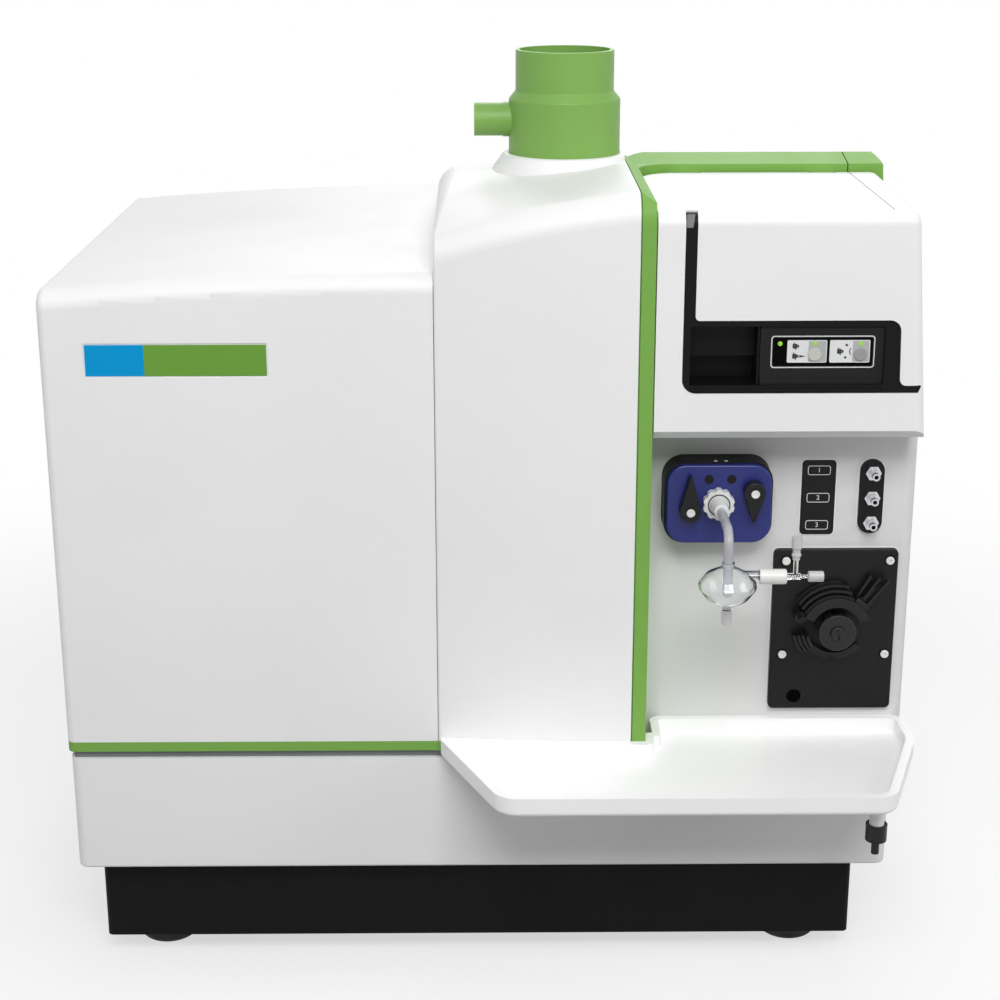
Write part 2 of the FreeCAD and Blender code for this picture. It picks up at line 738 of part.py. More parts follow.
def exhaust_pipe():
    lower, upper = PIPE_LOWER_R, PIPE_UPPER_R
    outer = turned(
        [
            (0, PIPE_BOTTOM),
            (lower, PIPE_BOTTOM),
            (lower, PIPE_STEP),
            (upper, PIPE_NECK),
            (upper, PIPE_TOP),
            (0, PIPE_TOP),
        ],
        [0, 0, 3.0, 2.0, 1.0, 0],
        (PIPE_X, PIPE_Y, 0),
        (0, 0, 1),
    )
    stub_start = (PIPE_X, PIPE_Y, STUB_Z)
    stub_end = (PIPE_X - STUB_REACH, PIPE_Y, STUB_Z)
    root_end = (PIPE_X - STUB_REACH + STUB_SEAT, PIPE_Y, STUB_Z)
    outer = fused([outer, rod(STUB_R, stub_start, stub_end), rod(STUB_ROOT_R, stub_start, root_end)])
    inner = turned(
        [
            (0, PIPE_BOTTOM - 1),
            (lower - PIPE_WALL, PIPE_BOTTOM - 1),
            (lower - PIPE_WALL, PIPE_STEP),
            (upper - PIPE_WALL, PIPE_NECK),
            (upper - PIPE_WALL, PIPE_TOP + 1),
            (0, PIPE_TOP + 1),
        ],
        0,
        (PIPE_X, PIPE_Y, 0),
        (0, 0, 1),
    )
    bore_end = (PIPE_X - STUB_REACH - 1, PIPE_Y, STUB_Z)
    return outer.cut(inner).cut(rod(STUB_R - 2.5, stub_start, bore_end)).removeSplitter()


def exhaust_plenum():
    """Sheet-metal box inside the tower that carries the pipe and draws from the torch bay."""
    x0, x1 = PIPE_X - PIPE_LOWER_R - 3.0, TOWER_RIGHT - WALL - 2.0
    y0, y1 = PIPE_Y - PIPE_LOWER_R - 3.0, PIPE_Y + PIPE_LOWER_R + 3.0
    low, top = VAC_TOP, PIPE_BOTTOM
    outer = box(x0, x1, y0, y1, low, top)
    inner = box(x0 + SHEET, x1 - SHEET, y0 + SHEET, y1 - SHEET, low + SHEET, top - SHEET)
    mouth = rod(PIPE_LOWER_R - PIPE_WALL - 6.0, (PIPE_X, PIPE_Y, low + 10), (PIPE_X, PIPE_Y, top + 1))
    duct_y = (y0, y0 + 36.0)
    down = box(x1 - 40.0, x1, *duct_y, DUCT_Z[0], low + 1)
    down_in = box(
        x1 - 40.0 + SHEET, x1 - SHEET, duct_y[0] + SHEET, duct_y[1] - SHEET, DUCT_Z[0] + SHEET, low + SHEET + 1
    )
    duct = box(x1 - 1, BAY_X[0], *duct_y, *DUCT_Z)
    duct_in = box(
        x1 - SHEET - 1,
        BAY_X[0] + 1,
        duct_y[0] + SHEET,
        duct_y[1] - SHEET,
        DUCT_Z[0] + SHEET,
        DUCT_Z[1] - SHEET,
    )
    return fused([outer, down, duct]).cut(inner).cut(mouth).cut(down_in).cut(duct_in)


# Accent band

def corner_fill(z0, z1):
    """Rounded inner corner between strip and cross bar."""
    x, y = BAND_RIGHT + BAND_INNER_R, BAND_BACK_FRONT - BAND_INNER_R
    block = box(BAND_RIGHT, x, y, BAND_BACK_FRONT, z0, z1)
    return block.cut(rod(BAND_INNER_R, (x, y, z0 - 1), (x, y, z1 + 1)))


def band_slope():
    """Everything under the band's sloping top, as one long bar along X."""
    points = [
        (BAND_BACK_FRONT, 0),
        (BAND_BACK_REAR, 0),
        (BAND_BACK_REAR, TOWER_RIGHT_TOP - 1.0),
        (BAND_BACK_FRONT, BAND_INNER_TOP),
    ]
    return plate_yz(points, [0, 0, 3.0, 0], TOWER_RIGHT, RIGHT)


def band_side(inset, x0, x1):
    """Side view of the strip, moved in by inset from its front and its top."""
    front, top = BAND_FRONT + inset, TOWER_RIGHT_TOP - inset
    points = [
        (front, RAIL_TOP),
        (BAND_FRONT + BAND_DEPTH, RAIL_TOP),
        (BAND_FRONT + BAND_DEPTH, BAND_LOW),
        (BAND_BACK_REAR, BAND_LOW),
        (BAND_BACK_REAR, top),
        (front, top),
    ]
    return plate_yz(points, [0, 0, 12.0, 0, 0, BAND_FRONT_R - inset], x0, x1)


def accent_band():
    """Front strip, strip along the tower's right shoulder, and cross bar behind the hood."""
    x0, x1 = TOWER_RIGHT, BAND_RIGHT
    shoulder = plate_xz(
        [(x0, RAIL_TOP), (x1, RAIL_TOP), (x1, BAND_INNER_TOP), (x0, TOWER_RIGHT_TOP)],
        0,
        BAND_FRONT,
        BAND_BACK_REAR,
    )
    groove_x = x0 + GROOVE_W
    groove = band_side(0, x0, groove_x).cut(band_side(GROOVE_DEPTH, x0 - 1, groove_x + 1))
    side = band_side(0, x0, x1).cut(groove)
    bar = band_slope().common(
        box(x0, BAND_SPLIT - SEAM / 2, BAND_BACK_FRONT, BAND_BACK_REAR, BAND_LOW, TOWER_RIGHT_TOP)
    )
    band = fused([shoulder.common(side), bar])
    corner = box(
        x0 - 1, x0 + BAND_OUTER_R, BAND_BACK_REAR - BAND_OUTER_R, BAND_BACK_REAR + 1, BAND_LOW - 1, 900
    )
    round_corner = rod(
        BAND_OUTER_R,
        (x0 + BAND_OUTER_R, BAND_BACK_REAR - BAND_OUTER_R, BAND_LOW - 1),
        (x0 + BAND_OUTER_R, BAND_BACK_REAR - BAND_OUTER_R, 900),
    )
    band = band.cut(corner.cut(round_corner))
    band = fused([band, corner_fill(BAND_LOW, BAND_INNER_TOP)])
    channel = box(
        x0 + BAND_WALL,
        x1 - BAND_WALL,
        BAND_FRONT + BAND_WALL,
        BAND_FRONT + BAND_DEPTH + 1,
        RAIL_TOP + BAND_WALL,
        BAND_LOW,
    )
    return band.cut(channel)


def side_x(z, y=None):
    """X of the right side's outer face above the hood's edge height, at the rear."""
    draft = (HOOD_RIGHT_EDGE - HOOD_RIGHT_TOP) / (HOOD_TOP - HOOD_EDGE)
    at = HOOD_RIGHT_EDGE - (z - HOOD_EDGE) * draft
    y = HOOD_REAR if y is None else y
    return at + HOOD_TAPER * (y - HOOD_FRONT) / (HOOD_REAR - HOOD_FRONT)


def accent_band_end():
    """Right end of the band: it wraps the top corner and runs down the side."""
    top = TOWER_RIGHT_TOP
    x_low = RIGHT
    x_top = side_x(top) + BAND_TOP_PROUD
    t = BAND_END_T
    points = [
        (x_low - t, LOWER_TOP),
        (x_low, LOWER_TOP),
        (x_low, HOOD_BOTTOM),
        (x_top, top),
        (BAND_SPLIT + SEAM / 2, top),
        (BAND_SPLIT + SEAM / 2, BAND_LOW),
        (x_top - t - 8.0, BAND_LOW),
        (x_low - t, HOOD_BOTTOM),
    ]
    block = plate_xz(points, [0, 0, 60.0, BAND_END_R, 0, 0, 6.0, 60.0], BAND_BACK_FRONT, BAND_BACK_REAR)
    return block.common(band_slope())


# Hood over the torch bay

def side_cutter(inset, y0):
    """Everything to the right of the hood's side plane, moved in by inset."""
    def corner(y, z):
        return Vector(side_x(z, y) - inset, y, z)

    low, high = HOOD_BOTTOM - 60, HOOD_TOP + 60
    y1 = REAR
    faces = []
    for y in (y0, y1):
        points = [corner(y, low), Vector(RIGHT + 80, y, low), Vector(RIGHT + 80, y, high), corner(y, high)]
        faces.append(Part.makePolygon(points + [points[0]]))
    return Part.makeLoft(faces, True, True)


def hood_block(inset):
    """Hood volume: bevelled foot, rounded front top edge and drafted right side."""
    front, top = HOOD_FRONT + inset, HOOD_TOP - inset
    low = HOOD_BOTTOM + inset
    rear = HOOD_REAR if inset == 0 else HOOD_REAR + 10
    points = [
        (rear, low),
        (front + HOOD_CHAMFER, low),
        (front, HOOD_EDGE + inset / 2),
        (front, top),
        (rear, top),
    ]
    block = plate_yz(points, [0, 0, 0, HOOD_FRONT_R - inset, 0], HOOD_LEFT + inset, RIGHT + 40)
    block = block.cut(side_cutter(inset, HOOD_FRONT - 30))
    if inset > 0:
        return block
    side = [
        e
        for e in edges_where(block, lambda p: near(p.x, side_x(p.z, p.y)))
        if not all(near(p.y, HOOD_REAR) for p in e.discretize(3))
        and max(p.z for p in e.discretize(3)) > HOOD_EDGE + 3
    ]
    return block.makeFillet(HOOD_SIDE_R, side)


def cap_region(gap):
    """Space taken by the fixed end cap, grown by gap on its seams."""
    top = box(BAND_SPLIT - gap, RIGHT + 50, CAP_FRONT - gap, REAR, HOOD_BOTTOM + WALL + 2.0 - gap, 900)
    inner = side_x(HOOD_BOTTOM, HOOD_FRONT) - WALL - 1.5
    side = box(inner - gap, RIGHT + 50, CAP_FRONT - gap, REAR, HOOD_BOTTOM - 10, 900)
    return fused([top, side])


def hood_shell():
    shell = hood_block(0).cut(hood_block(WALL))
    floor_rear = box(HOOD_LEFT - 5, RIGHT + 50, HOOD_LIP_REAR, REAR, HOOD_BOTTOM - 1, HOOD_BOTTOM + WALL + 0.01)
    side_zone = box(
        HOOD_LEFT - 5, HOOD_LEFT + WALL, HOOD_LIP_REAR, REAR, HOOD_BOTTOM - 1, HOOD_BOTTOM + WALL + 0.01
    )
    right_zone = box(
        side_x(HOOD_BOTTOM, HOOD_FRONT) - WALL, RIGHT + 50, HOOD_LIP_REAR, REAR, HOOD_BOTTOM - 1, 900
    )
    return shell.cut(floor_rear.cut(side_zone).cut(right_zone))


def bezel_outline(grow):
    """Outline of the L-shaped bezel, in X and Z."""
    g = grow
    return (
        [
            (SLOT_X[0] - g, BEZEL_Z[0] - g),
            (BEZEL_TAIL - 3.0 + g, BEZEL_Z[0] - g),
            (BEZEL_TAIL + g, BEZEL_TAIL_Z + g),
            (BEZEL_RIGHT + 2.0 + g, BEZEL_TAIL_Z + g),
            (BEZEL_RIGHT + g, BEZEL_Z[1] + g),
            (SLOT_X[1] + g, BEZEL_Z[1] + g),
            (SLOT_X[1] + g, HOOD_TOP - HOOD_FRONT_R - 1.0 + g),
            (SLOT_X[0] - g, HOOD_TOP - HOOD_FRONT_R - 1.0 + g),
        ],
        [13.0, 1.0, 1.0, 6.0 - g, 10.0 + g, 4.0 - g, 0.5, 0.5],
    )


def knuckle_span(x):
    return x - HINGE_KNUCKLE_W / 2, x + HINGE_KNUCKLE_W / 2


def hood_corner():
    """What is taken off the hood's rear left corner, so that it swings clear of the band."""
    x, y = HOOD_LEFT + HOOD_CORNER_R, HOOD_REAR - HOOD_CORNER_R
    block = box(HOOD_LEFT - 1, x, y, HOOD_REAR + 1, HOOD_BOTTOM - 1, HOOD_TOP + 1)
    return block.cut(rod(HOOD_CORNER_R, (x, y, HOOD_BOTTOM - 2), (x, y, HOOD_TOP + 2)))


def hood_cover():
    hood = hood_shell().cut(cap_region(CAP_SEAM / 2))
    lip_end = side_x(HOOD_BOTTOM, HOOD_FRONT) - WALL - 1.5 - HOOD_LIP_GAP
    hood = hood.cut(
        box(lip_end, RIGHT + 50, CAP_FRONT - CAP_SEAM / 2, REAR, HOOD_BOTTOM - 1, HOOD_BOTTOM + WALL + 2.0)
    )
    points, radii = bezel_outline(0.15)
    hood = hood.cut(plate_xz(points, radii, HOOD_FRONT - 5, HOOD_FRONT + WALL + 2))
    slot = box(
        SLOT_X[0] - 0.15,
        SLOT_X[1] + 0.15,
        HOOD_FRONT - 5,
        HOOD_FRONT + HOOD_FRONT_R + SLOT_REACH + 1.0,
        HOOD_TOP - HOOD_FRONT_R - 1.5,
        HOOD_TOP + 5,
    )
    hood = hood.cut(slot)
    hood = hood.cut(hood_corner())
    for x in HINGE_X:
        x0, x1 = knuckle_span(x)
        notch = box(
            x0 - HINGE_EAR - 1.0,
            x1 + HINGE_EAR + 1.0,
            HINGE_Y - HINGE_NOTCH,
            HINGE_Y + 10,
            HINGE_Z - 5,
            HOOD_TOP + 1,
        )
        hood = hood.cut(notch)
        tab = box(x0, x1, HINGE_Y - HINGE_NOTCH - 2.0, HINGE_Y, HINGE_Z, HINGE_Z + HINGE_KNUCKLE_R)
        knuckle = rod(HINGE_KNUCKLE_R, (x0, HINGE_Y, HINGE_Z), (x1, HINGE_Y, HINGE_Z))
        hood = fused([hood, tab, knuckle])
        bore = rod(HINGE_PIN_R + RUN, (x0 - 1, HINGE_Y, HINGE_Z), (x1 + 1, HINGE_Y, HINGE_Z))
        hood = hood.cut(bore)
    return hood


def hood_end_cap():
    """Fixed corner piece beside the hood: top strip and side wall."""
    shell = hood_block(0).cut(hood_block(WALL))
    cap = shell.common(cap_region(-CAP_SEAM / 2))
    trim = box(0, RIGHT + 50, BAND_BACK_FRONT - SEAM, REAR + 10, 0, 900)
    return cap.cut(trim)


def hood_hinge(x):
    """Bracket on the band's cross bar, with ears and the pin through the hood's knuckle."""
    x0, x1 = knuckle_span(x)
    play = 0.35
    plate = box(
        x0 - HINGE_EAR - play,
        x1 + HINGE_EAR + play,
        BAND_BACK_FRONT - 0.5,
        BAND_BACK_FRONT,
        BAND_LOW + 1,
        HINGE_Z + 3.0,
    )
    pieces = [plate]
    for low, high in ((x0 - HINGE_EAR - play, x0 - play), (x1 + play, x1 + HINGE_EAR + play)):
        ear = rod(HINGE_KNUCKLE_R, (low, HINGE_Y, HINGE_Z), (high, HINGE_Y, HINGE_Z))
        arm = box(low, high, HINGE_Y, BAND_BACK_FRONT, HINGE_Z - HINGE_KNUCKLE_R, HINGE_Z + 3.0)
        pieces += [ear, arm]
    pieces.append(
        rod(HINGE_PIN_R, (x0 - play - 0.5, HINGE_Y, HINGE_Z), (x1 + play + 0.5, HINGE_Y, HINGE_Z))
    )
    return fused(pieces)


# Bezel and control panel

def hood_bezel():
    y0 = HOOD_FRONT + BEZEL_RECESS
    points, radii = bezel_outline(0)
    plate = plate_xz(points, radii, y0, y0 + BEZEL_T)
    rise = plate_yz(
        [
            (y0, HOOD_TOP - HOOD_FRONT_R - 2.0),
            (y0 + BEZEL_T, HOOD_TOP - HOOD_FRONT_R - 2.0),
            (y0 + BEZEL_T, HOOD_TOP - BEZEL_RECESS - BEZEL_T),
            (HOOD_FRONT + HOOD_FRONT_R + SLOT_REACH, HOOD_TOP - BEZEL_RECESS - BEZEL_T),
            (HOOD_FRONT + HOOD_FRONT_R + SLOT_REACH, HOOD_TOP - BEZEL_RECESS),
            (y0, HOOD_TOP - BEZEL_RECESS),
        ],
        [0, 0, HOOD_FRONT_R - BEZEL_RECESS - BEZEL_T, 0, 0, HOOD_FRONT_R - BEZEL_RECESS],
        *SLOT_X,
    )
    wx0, wx1 = WINDOW_X
    wz0, wz1 = WINDOW_Z
    back = HOOD_FRONT + POCKET_DEPTH
    w = POCKET_WALL
    well = box(wx0 - w, POCKET_RIGHT, y0 + BEZEL_T, back + w, wz0 - w, wz1 + w)
    well_in = box(wx0, POCKET_RIGHT - w, y0 - 1, back, wz0, wz1)
    step = box(wx0, POCKET_RIGHT - w, back - 12.0, back, (wz0 + wz1) / 2 - 5.0, wz1)
    ledge = box(wx0, wx1, y0 - 1.0, y0 + BEZEL_T, BEZEL_Z[0] + 1.8, BEZEL_Z[0] + 4.2)
    window = plate_xz(rectangle(wx0, wx1, wz0, wz1), 2.5, y0 - 5, y0 + BEZEL_T + 1)
    whole = fused([plate, rise, well]).cut(window).cut(well_in)
    return fused([whole, step, ledge])


def control_panel():
    y0 = HOOD_FRONT + PANEL_RECESS
    block = plate_xz(rectangle(*PANEL_X, *PANEL_Z), 1.5, y0, y0 + PANEL_T)
    frame_back = HOOD_FRONT + BEZEL_RECESS + BEZEL_T
    lip = box(
        PANEL_X[0] + 0.5,
        PANEL_X[1] + 5.0,
        frame_back,
        y0 + PANEL_T,
        WINDOW_Z[0] - 4.0,
        WINDOW_Z[1] + 4.0,
    )
    whole = fused([block, lip])
    for x0, x1 in LABEL_X:
        whole = whole.fuse(plate_xz(rectangle(x0, x1, *LABEL_Z), 1.5, y0 - LABEL_T, y0 + 0.5))
    for x in BUTTON_X:
        well = rod(BUTTON_R + 0.35, (x, y0 - 2, BUTTON_Z), (x, y0 + 7.0, BUTTON_Z))
        whole = whole.cut(well)
    for x in LAMP_X:
        whole = whole.cut(rod(LAMP_R, (x, y0 - 2, LAMP_Z), (x, y0 + 2.0, LAMP_Z)))
    return whole.removeSplitter()


def push_button(x):
    y0 = HOOD_FRONT + PANEL_RECESS
    face = y0 - LABEL_T - BUTTON_PROUD
    back = y0 + 7.0 - BUTTON_TRAVEL - 0.1
    points = [(0, 0), (BUTTON_R, 0), (BUTTON_R, back - face), (0, back - face)]
    return turned(points, [0, 0.8, 0, 0], (x, face, BUTTON_Z), (0, 1, 0))


def panel_lamp(x):
    y0 = HOOD_FRONT + PANEL_RECESS
    points = [(0, -1.2), (LAMP_R, -1.2), (LAMP_R, 2.0), (0, 2.0)]
    return turned(points, [0, 0.9, 0, 0], (x, y0, LAMP_Z), (0, 1, 0))


# Right body and rear

def mount_outline(grow):
    x0, x1 = MOUNT_X
    z0, z1 = MOUNT_Z
    return rectangle(x0 - grow, x1 + grow, z0 - grow, z1 + grow), MOUNT_R + grow


def right_body_cover():
    """Recessed front panel, right side wall and the closing lip under it."""
    outer = plate_xy(
        rectangle(HOOD_LEFT, BODY_RIGHT, FACE_Y, BAND_BACK_FRONT - SEAM),
        [0, BODY_EDGE_R, 0, 0],
        LOWER_TOP,
        HOOD_BOTTOM - SEAM,
    )
    inner = plate_xy(
        rectangle(HOOD_LEFT - 5, BODY_RIGHT - WALL, FACE_Y + WALL, REAR),
        [0, BODY_EDGE_R - WALL, 0, 0],
        LOWER_TOP - 1,
        HOOD_TOP,
    )
    lip = box(LOWER_RIGHT - 4.0, BODY_RIGHT - WALL, FACE_Y + WALL, BAND_BACK_FRONT - SEAM, LOWER_TOP, LOWER_TOP + 3)
    rise = box(
        HOOD_LEFT + WALL + 1.0,
        side_x(HOOD_BOTTOM, HOOD_FRONT) - 2 * WALL - 3.0,
        FACE_Y,
        FACE_Y + WALL,
        HOOD_BOTTOM - 10,
        FACE_TOP,
    )
    cover = fused([outer.cut(inner), lip, rise])
    points, radius = mount_outline(MOUNT_GROW + 0.5)
    cover = cover.cut(plate_xz(points, radius, FACE_Y - 5, FACE_Y + WALL + 5))
    shaft = rod(PUMP_SHAFT_R + 2.0, (PUMP_X, FACE_Y - 5, PUMP_Z), (PUMP_X, FACE_Y + 20, PUMP_Z))
    cover = cover.cut(shaft)
    for z in GAS_Z:
        x = sum(GAS_PORT_X) / 2
        cover = cover.cut(rod(4.0, (x, FACE_Y - 5, z), (x, FACE_Y + 20, z)))
    x, z = DRAIN_HOLE
    return cover.cut(rod(DRAIN_HOLE_R, (x, FACE_Y - 5, z), (x, FACE_Y + 20, z)))


def back_block(inset, through):
    """Volume of the right rear cover, behind the band."""
    x0 = TOWER_RIGHT + SEAM + (0 if inset == 0 else -5)
    y0 = BAND_BACK_REAR + SEAM - through
    points = [
        (x0, LOWER_TOP - through),
        (BODY_RIGHT - inset, LOWER_TOP - through),
        (BODY_RIGHT - inset, HOOD_BOTTOM),
        (BACK_SIDE_TOP - inset, BACK_ROOF - inset),
        (x0, BACK_ROOF - inset),
    ]
    block = plate_xz(points, [0, 0, 60.0, BACK_CORNER_R - inset, 0], y0, REAR + through)
    return block.cut(slope_cutter(FRONT + ROOF_FLAT, BACK_ROOF - inset, BACK_ROOF + 60))


def right_rear_cover():
    cover = back_block(0, 0).cut(back_block(WALL, 20.0))
    lip = box(LOWER_RIGHT - 4.0, BODY_RIGHT - WALL, BAND_BACK_REAR + SEAM, REAR, LOWER_TOP, LOWER_TOP + 3)
    return fused([cover, lip])


def rear_panel():
    """Steel rear panel with louvres, a fan grille and holes for the connectors."""
    y0, y1 = REAR - 6.0, REAR - 4.0
    slab = box(LEFT, RIGHT, y0, y1, LOWER_TOP + DECK_T, 900)
    gap = WALL + SEAM
    left = cabinet_block(gap, 30.0)
    tower = tower_block(gap, 30.0)
    right = back_block(gap, 30.0)
    left = left.common(box(LEFT, SEAM_X - SEAM, y0, y1, TRIM_TOP + SEAM, 900))
    right = right.common(box(TOWER_RIGHT + SEAM, RIGHT, y0, y1, LOWER_TOP, 900))
    low, high = WINDOW_LOW + SEAM, WINDOW_HIGH - SEAM
    bridge_left = box(SEAM_X - 8, SEAM_X + 8, y0, y1, low, high)
    bridge_right = box(TOWER_RIGHT - 8, TOWER_RIGHT + 8, y0, y1, low, high)
    shapes = [s.common(slab) for s in (left, tower, right)] + [bridge_left, bridge_right]
    panel = fused(shapes)
    for row in range(6):
        for x in (LEFT + 115.0, LEFT + 245.0, SEAM_X + 70.0):
            z = 420.0 + 26.0 * row
            panel = panel.cut(plate_xz(rectangle(x, x + 90.0, z, z + 8.0), 3.9, y0 - 1, y1 + 1))
    for step in range(5):
        radius = 14.0 + 9.0 * step
        slot = ring(radius + 5.0, radius, (FAN_X, y0 - 1, FAN_Z), (FAN_X, y1 + 1, FAN_Z))
        cross = fused(
            [
                box(FAN_X - 60, FAN_X + 60, y0 - 2, y1 + 2, FAN_Z - 2, FAN_Z + 2),
                box(FAN_X - 2, FAN_X + 2, y0 - 2, y1 + 2, FAN_Z - 60, FAN_Z + 60),
            ]
        )
        panel = panel.cut(slot.cut(cross))
    inlet = box(INLET_X - 15, INLET_X + 15, y0 - 1, y1 + 1, INLET_Z - 12, INLET_Z + 12)
    switch = box(INLET_X + 34, INLET_X + 56, y0 - 1, y1 + 1, INLET_Z - 15, INLET_Z + 15)
    port = rod(PORT_R + 1, (PORT_X, y0 - 1, PORT_Z), (PORT_X, y1 + 1, PORT_Z))
    return panel.cut(inlet).cut(switch).cut(port)


def fan_frame():
    y1 = REAR - 6.0
    y0 = y1 - FAN_T
    half = FAN_SIZE / 2
    body = plate_xz(rectangle(FAN_X - half, FAN_X + half, FAN_Z - half, FAN_Z + half), 6.0, y0, y1)
    body = body.cut(rod(half - 3.0, (FAN_X, y0 - 1, FAN_Z), (FAN_X, y1 + 1, FAN_Z)))
    hub = rod(FAN_HUB_R, (FAN_X, y0, FAN_Z), (FAN_X, y0 + 4.0, FAN_Z))
    struts = []
    for turn in range(4):
        strut = box(FAN_X, FAN_X + half - 1.0, y0, y0 + 3.0, FAN_Z - 3.0, FAN_Z + 3.0)
        strut.rotate(Vector(FAN_X, 0, FAN_Z), Vector(0, 1, 0), 45 + 90 * turn)
        struts.append(strut)
    shaft = rod(FAN_SHAFT_R, (FAN_X, y0 + 3.0, FAN_Z), (FAN_X, y1 - 3.0, FAN_Z))
    return fused([body, hub, shaft] + struts)


def fan_rotor():
    y1 = REAR - 6.0 - 1.5
    y0 = REAR - 6.0 - FAN_T + 4.6
    hub = rod(FAN_HUB_R, (FAN_X, y0, FAN_Z), (FAN_X, y1, FAN_Z))
    blades = []
    for turn in range(7):
        points = [(FAN_HUB_R - 2.0, -9.0), (FAN_HUB_R - 2.0, 7.0), (FAN_SIZE / 2 - 5.5, 9.0), (FAN_SIZE / 2 - 5.5, -4.0)]
        blade = plate_xz([(FAN_X + a, FAN_Z + b) for a, b in points], 0, (y0 + y1) / 2 - 1, (y0 + y1) / 2 + 1)
        blade.rotate(Vector(FAN_X, (y0 + y1) / 2, FAN_Z), Vector(1, 0, 0), 28)
        blade.rotate(Vector(FAN_X, 0, FAN_Z), Vector(0, 1, 0), turn * 360 / 7)
        blades.append(blade)
    rotor = fused([hub] + blades)
    bore = rod(FAN_SHAFT_R + RUN, (FAN_X, y0 - 1, FAN_Z), (FAN_X, y1 - 1.2, FAN_Z))
    return rotor.cut(bore)


def power_inlet():
    y0 = REAR - 4.0
    flange = plate_xz(rectangle(INLET_X - 25, INLET_X + 25, INLET_Z - 16, INLET_Z + 16), 3.0, y0, y0 + 3)
    body = box(INLET_X - 14.6, INLET_X + 14.6, y0 - 22, y0, INLET_Z - 11.6, INLET_Z + 11.6)
    cavity = box(INLET_X - 12.2, INLET_X + 12.2, y0 - 16, y0 + 4, INLET_Z - 8.5, INLET_Z + 8.5)
    pins = [
        box(INLET_X + dx - 1, INLET_X + dx + 1, y0 - 17, y0 - 3, INLET_Z + dz - 2, INLET_Z + dz + 2)
        for dx, dz in ((-7.0, -1.5), (0.0, 2.5), (7.0, -1.5))
    ]
    return fused([fused([flange, body]).cut(cavity)] + pins)


def switch_frame():
    y0 = REAR - 4.0
    x = INLET_X + 45.0
    flange = box(x - 13, x + 13, y0, y0 + 2, INLET_Z - 18, INLET_Z + 18)
    body = box(x - 10.6, x + 10.6, y0 - 18, y0, INLET_Z - 14.6, INLET_Z + 14.6)
    cavity = box(x - 8.2, x + 8.2, y0 - 14, y0 + 3, INLET_Z - 12.4, INLET_Z + 12.4)
    pin = rod(1.5, (x - 9, y0 - 3, INLET_Z), (x + 9, y0 - 3, INLET_Z))
    return fused([fused([flange, body]).cut(cavity), pin])


def switch_rocker():
    """Rocker that tips about the pin in its frame; it is modelled in the middle of its throw."""
    y0 = REAR - 4.0
    x = INLET_X + 45.0
    points = [
        (y0 - 7.5, INLET_Z - 4.0),
        (y0 - 5.0, INLET_Z - 10.8),
        (y0 + 4.4, INLET_Z - 11.2),
        (y0 + 2.4, INLET_Z),
        (y0 + 4.4, INLET_Z + 11.2),
        (y0 - 5.0, INLET_Z + 10.8),
        (y0 - 7.5, INLET_Z + 4.0),
    ]
    rocker = plate_yz(points, [1, 1, 0.8, 6.0, 0.8, 1, 1], x - 7.8, x + 7.8)
    return rocker.cut(rod(1.5 + RUN, (x - 9, y0 - 3, INLET_Z), (x + 9, y0 - 3, INLET_Z)))


def vacuum_port():
    y0 = REAR - 4.0
    end = REAR + REAR_REACH
    profile = [
        (PORT_R - 2.0, -6.0),
        (PORT_R, -6.0),
        (PORT_R, 0.0),
        (PORT_R + 9.0, 0.0),
        (PORT_R + 9.0, 4.0),
        (PORT_R, 4.0),
        (PORT_R, end - y0 - 5.0),
        (PORT_R + 7.0, end - y0 - 3.0),
        (PORT_R + 7.0, end - y0),
        (PORT_R - 2.0, end - y0),
    ]
    return turned(profile, 0, (PORT_X, y0, PORT_Z), (0, 1, 0))


# Drip tray

def tray_plan():
    points = [
        (SEAM_X + 2.4, FRONT + 6.0),
        (BAND_RIGHT + 8.0, FRONT + 6.0),
        (BAND_RIGHT + 8.0, FACE_Y - SEAM),
        (RIGHT - 4.0, FACE_Y - SEAM),
        (RIGHT, FRONT - 8.0),
        (RIGHT - 43.0, FRONT - TRAY_REACH),
        (SEAM_X + 58.0, FRONT - TRAY_REACH),
        (SEAM_X + 2.4, FRONT - 8.0),
    ]
    wire = outline(points, [0, 0, 12.0, 14.0, 60.0, 22.0, 26.0, 4.0], lambda p: Vector(p.x, p.y, 0))
    tower = tower_plan(SEAM, -5, 5)
    band = box(TOWER_RIGHT, BAND_RIGHT + SEAM, BAND_FRONT - SEAM, FACE_Y + 20, -5, 5)
    face = Part.Face(wire).cut(fused([tower, band]))
    return face.Faces[0].OuterWire


def tray_body(inset, z0, z1):
    wire = tray_plan()
    if inset:
        wire = wire.makeOffset2D(-inset, 0, False, False, False)
    wire.translate(Vector(0, 0, z0))
    return Part.Face(wire).extrude(Vector(0, 0, z1 - z0))


def drip_tray():
    """Moulded tray with a raised rim, a floor and a drain stub; it rests on the lower cover."""
    outer = tray_body(0, TRAY_LOW, TRAY_TOP)
    bottom = edges_where(outer, lambda p: near(p.z, TRAY_LOW) and p.y < FRONT - 12)
    outer = outer.makeFillet(5.0, bottom)
    inner = tray_body(TRAY_RIM, TRAY_LOW + TRAY_FLOOR, TRAY_TOP + 1)
    floor_edges = edges_where(inner, lambda p: near(p.z, TRAY_LOW + TRAY_FLOOR))
    inner = inner.makeFillet(3.0, floor_edges)
    tray = outer.cut(inner)
    x, y = TRAY_DRAIN
    stub = rod(DRAIN_STUB_R, (x, y, STUB_LOW), (x, y, TRAY_LOW + 1))
    pads = [
        box(x0, x0 + 60.0, FRONT + 8.0, FACE_Y - 6.0, LOWER_TOP, TRAY_LOW + 1)
        for x0 in (BAND_RIGHT + 30.0, RIGHT - 95.0)
    ]
    tray = fused([tray, stub] + pads)
    return tray.cut(rod(DRAIN_BORE, (x, y, STUB_LOW - 1), (x, y, TRAY_TOP)))


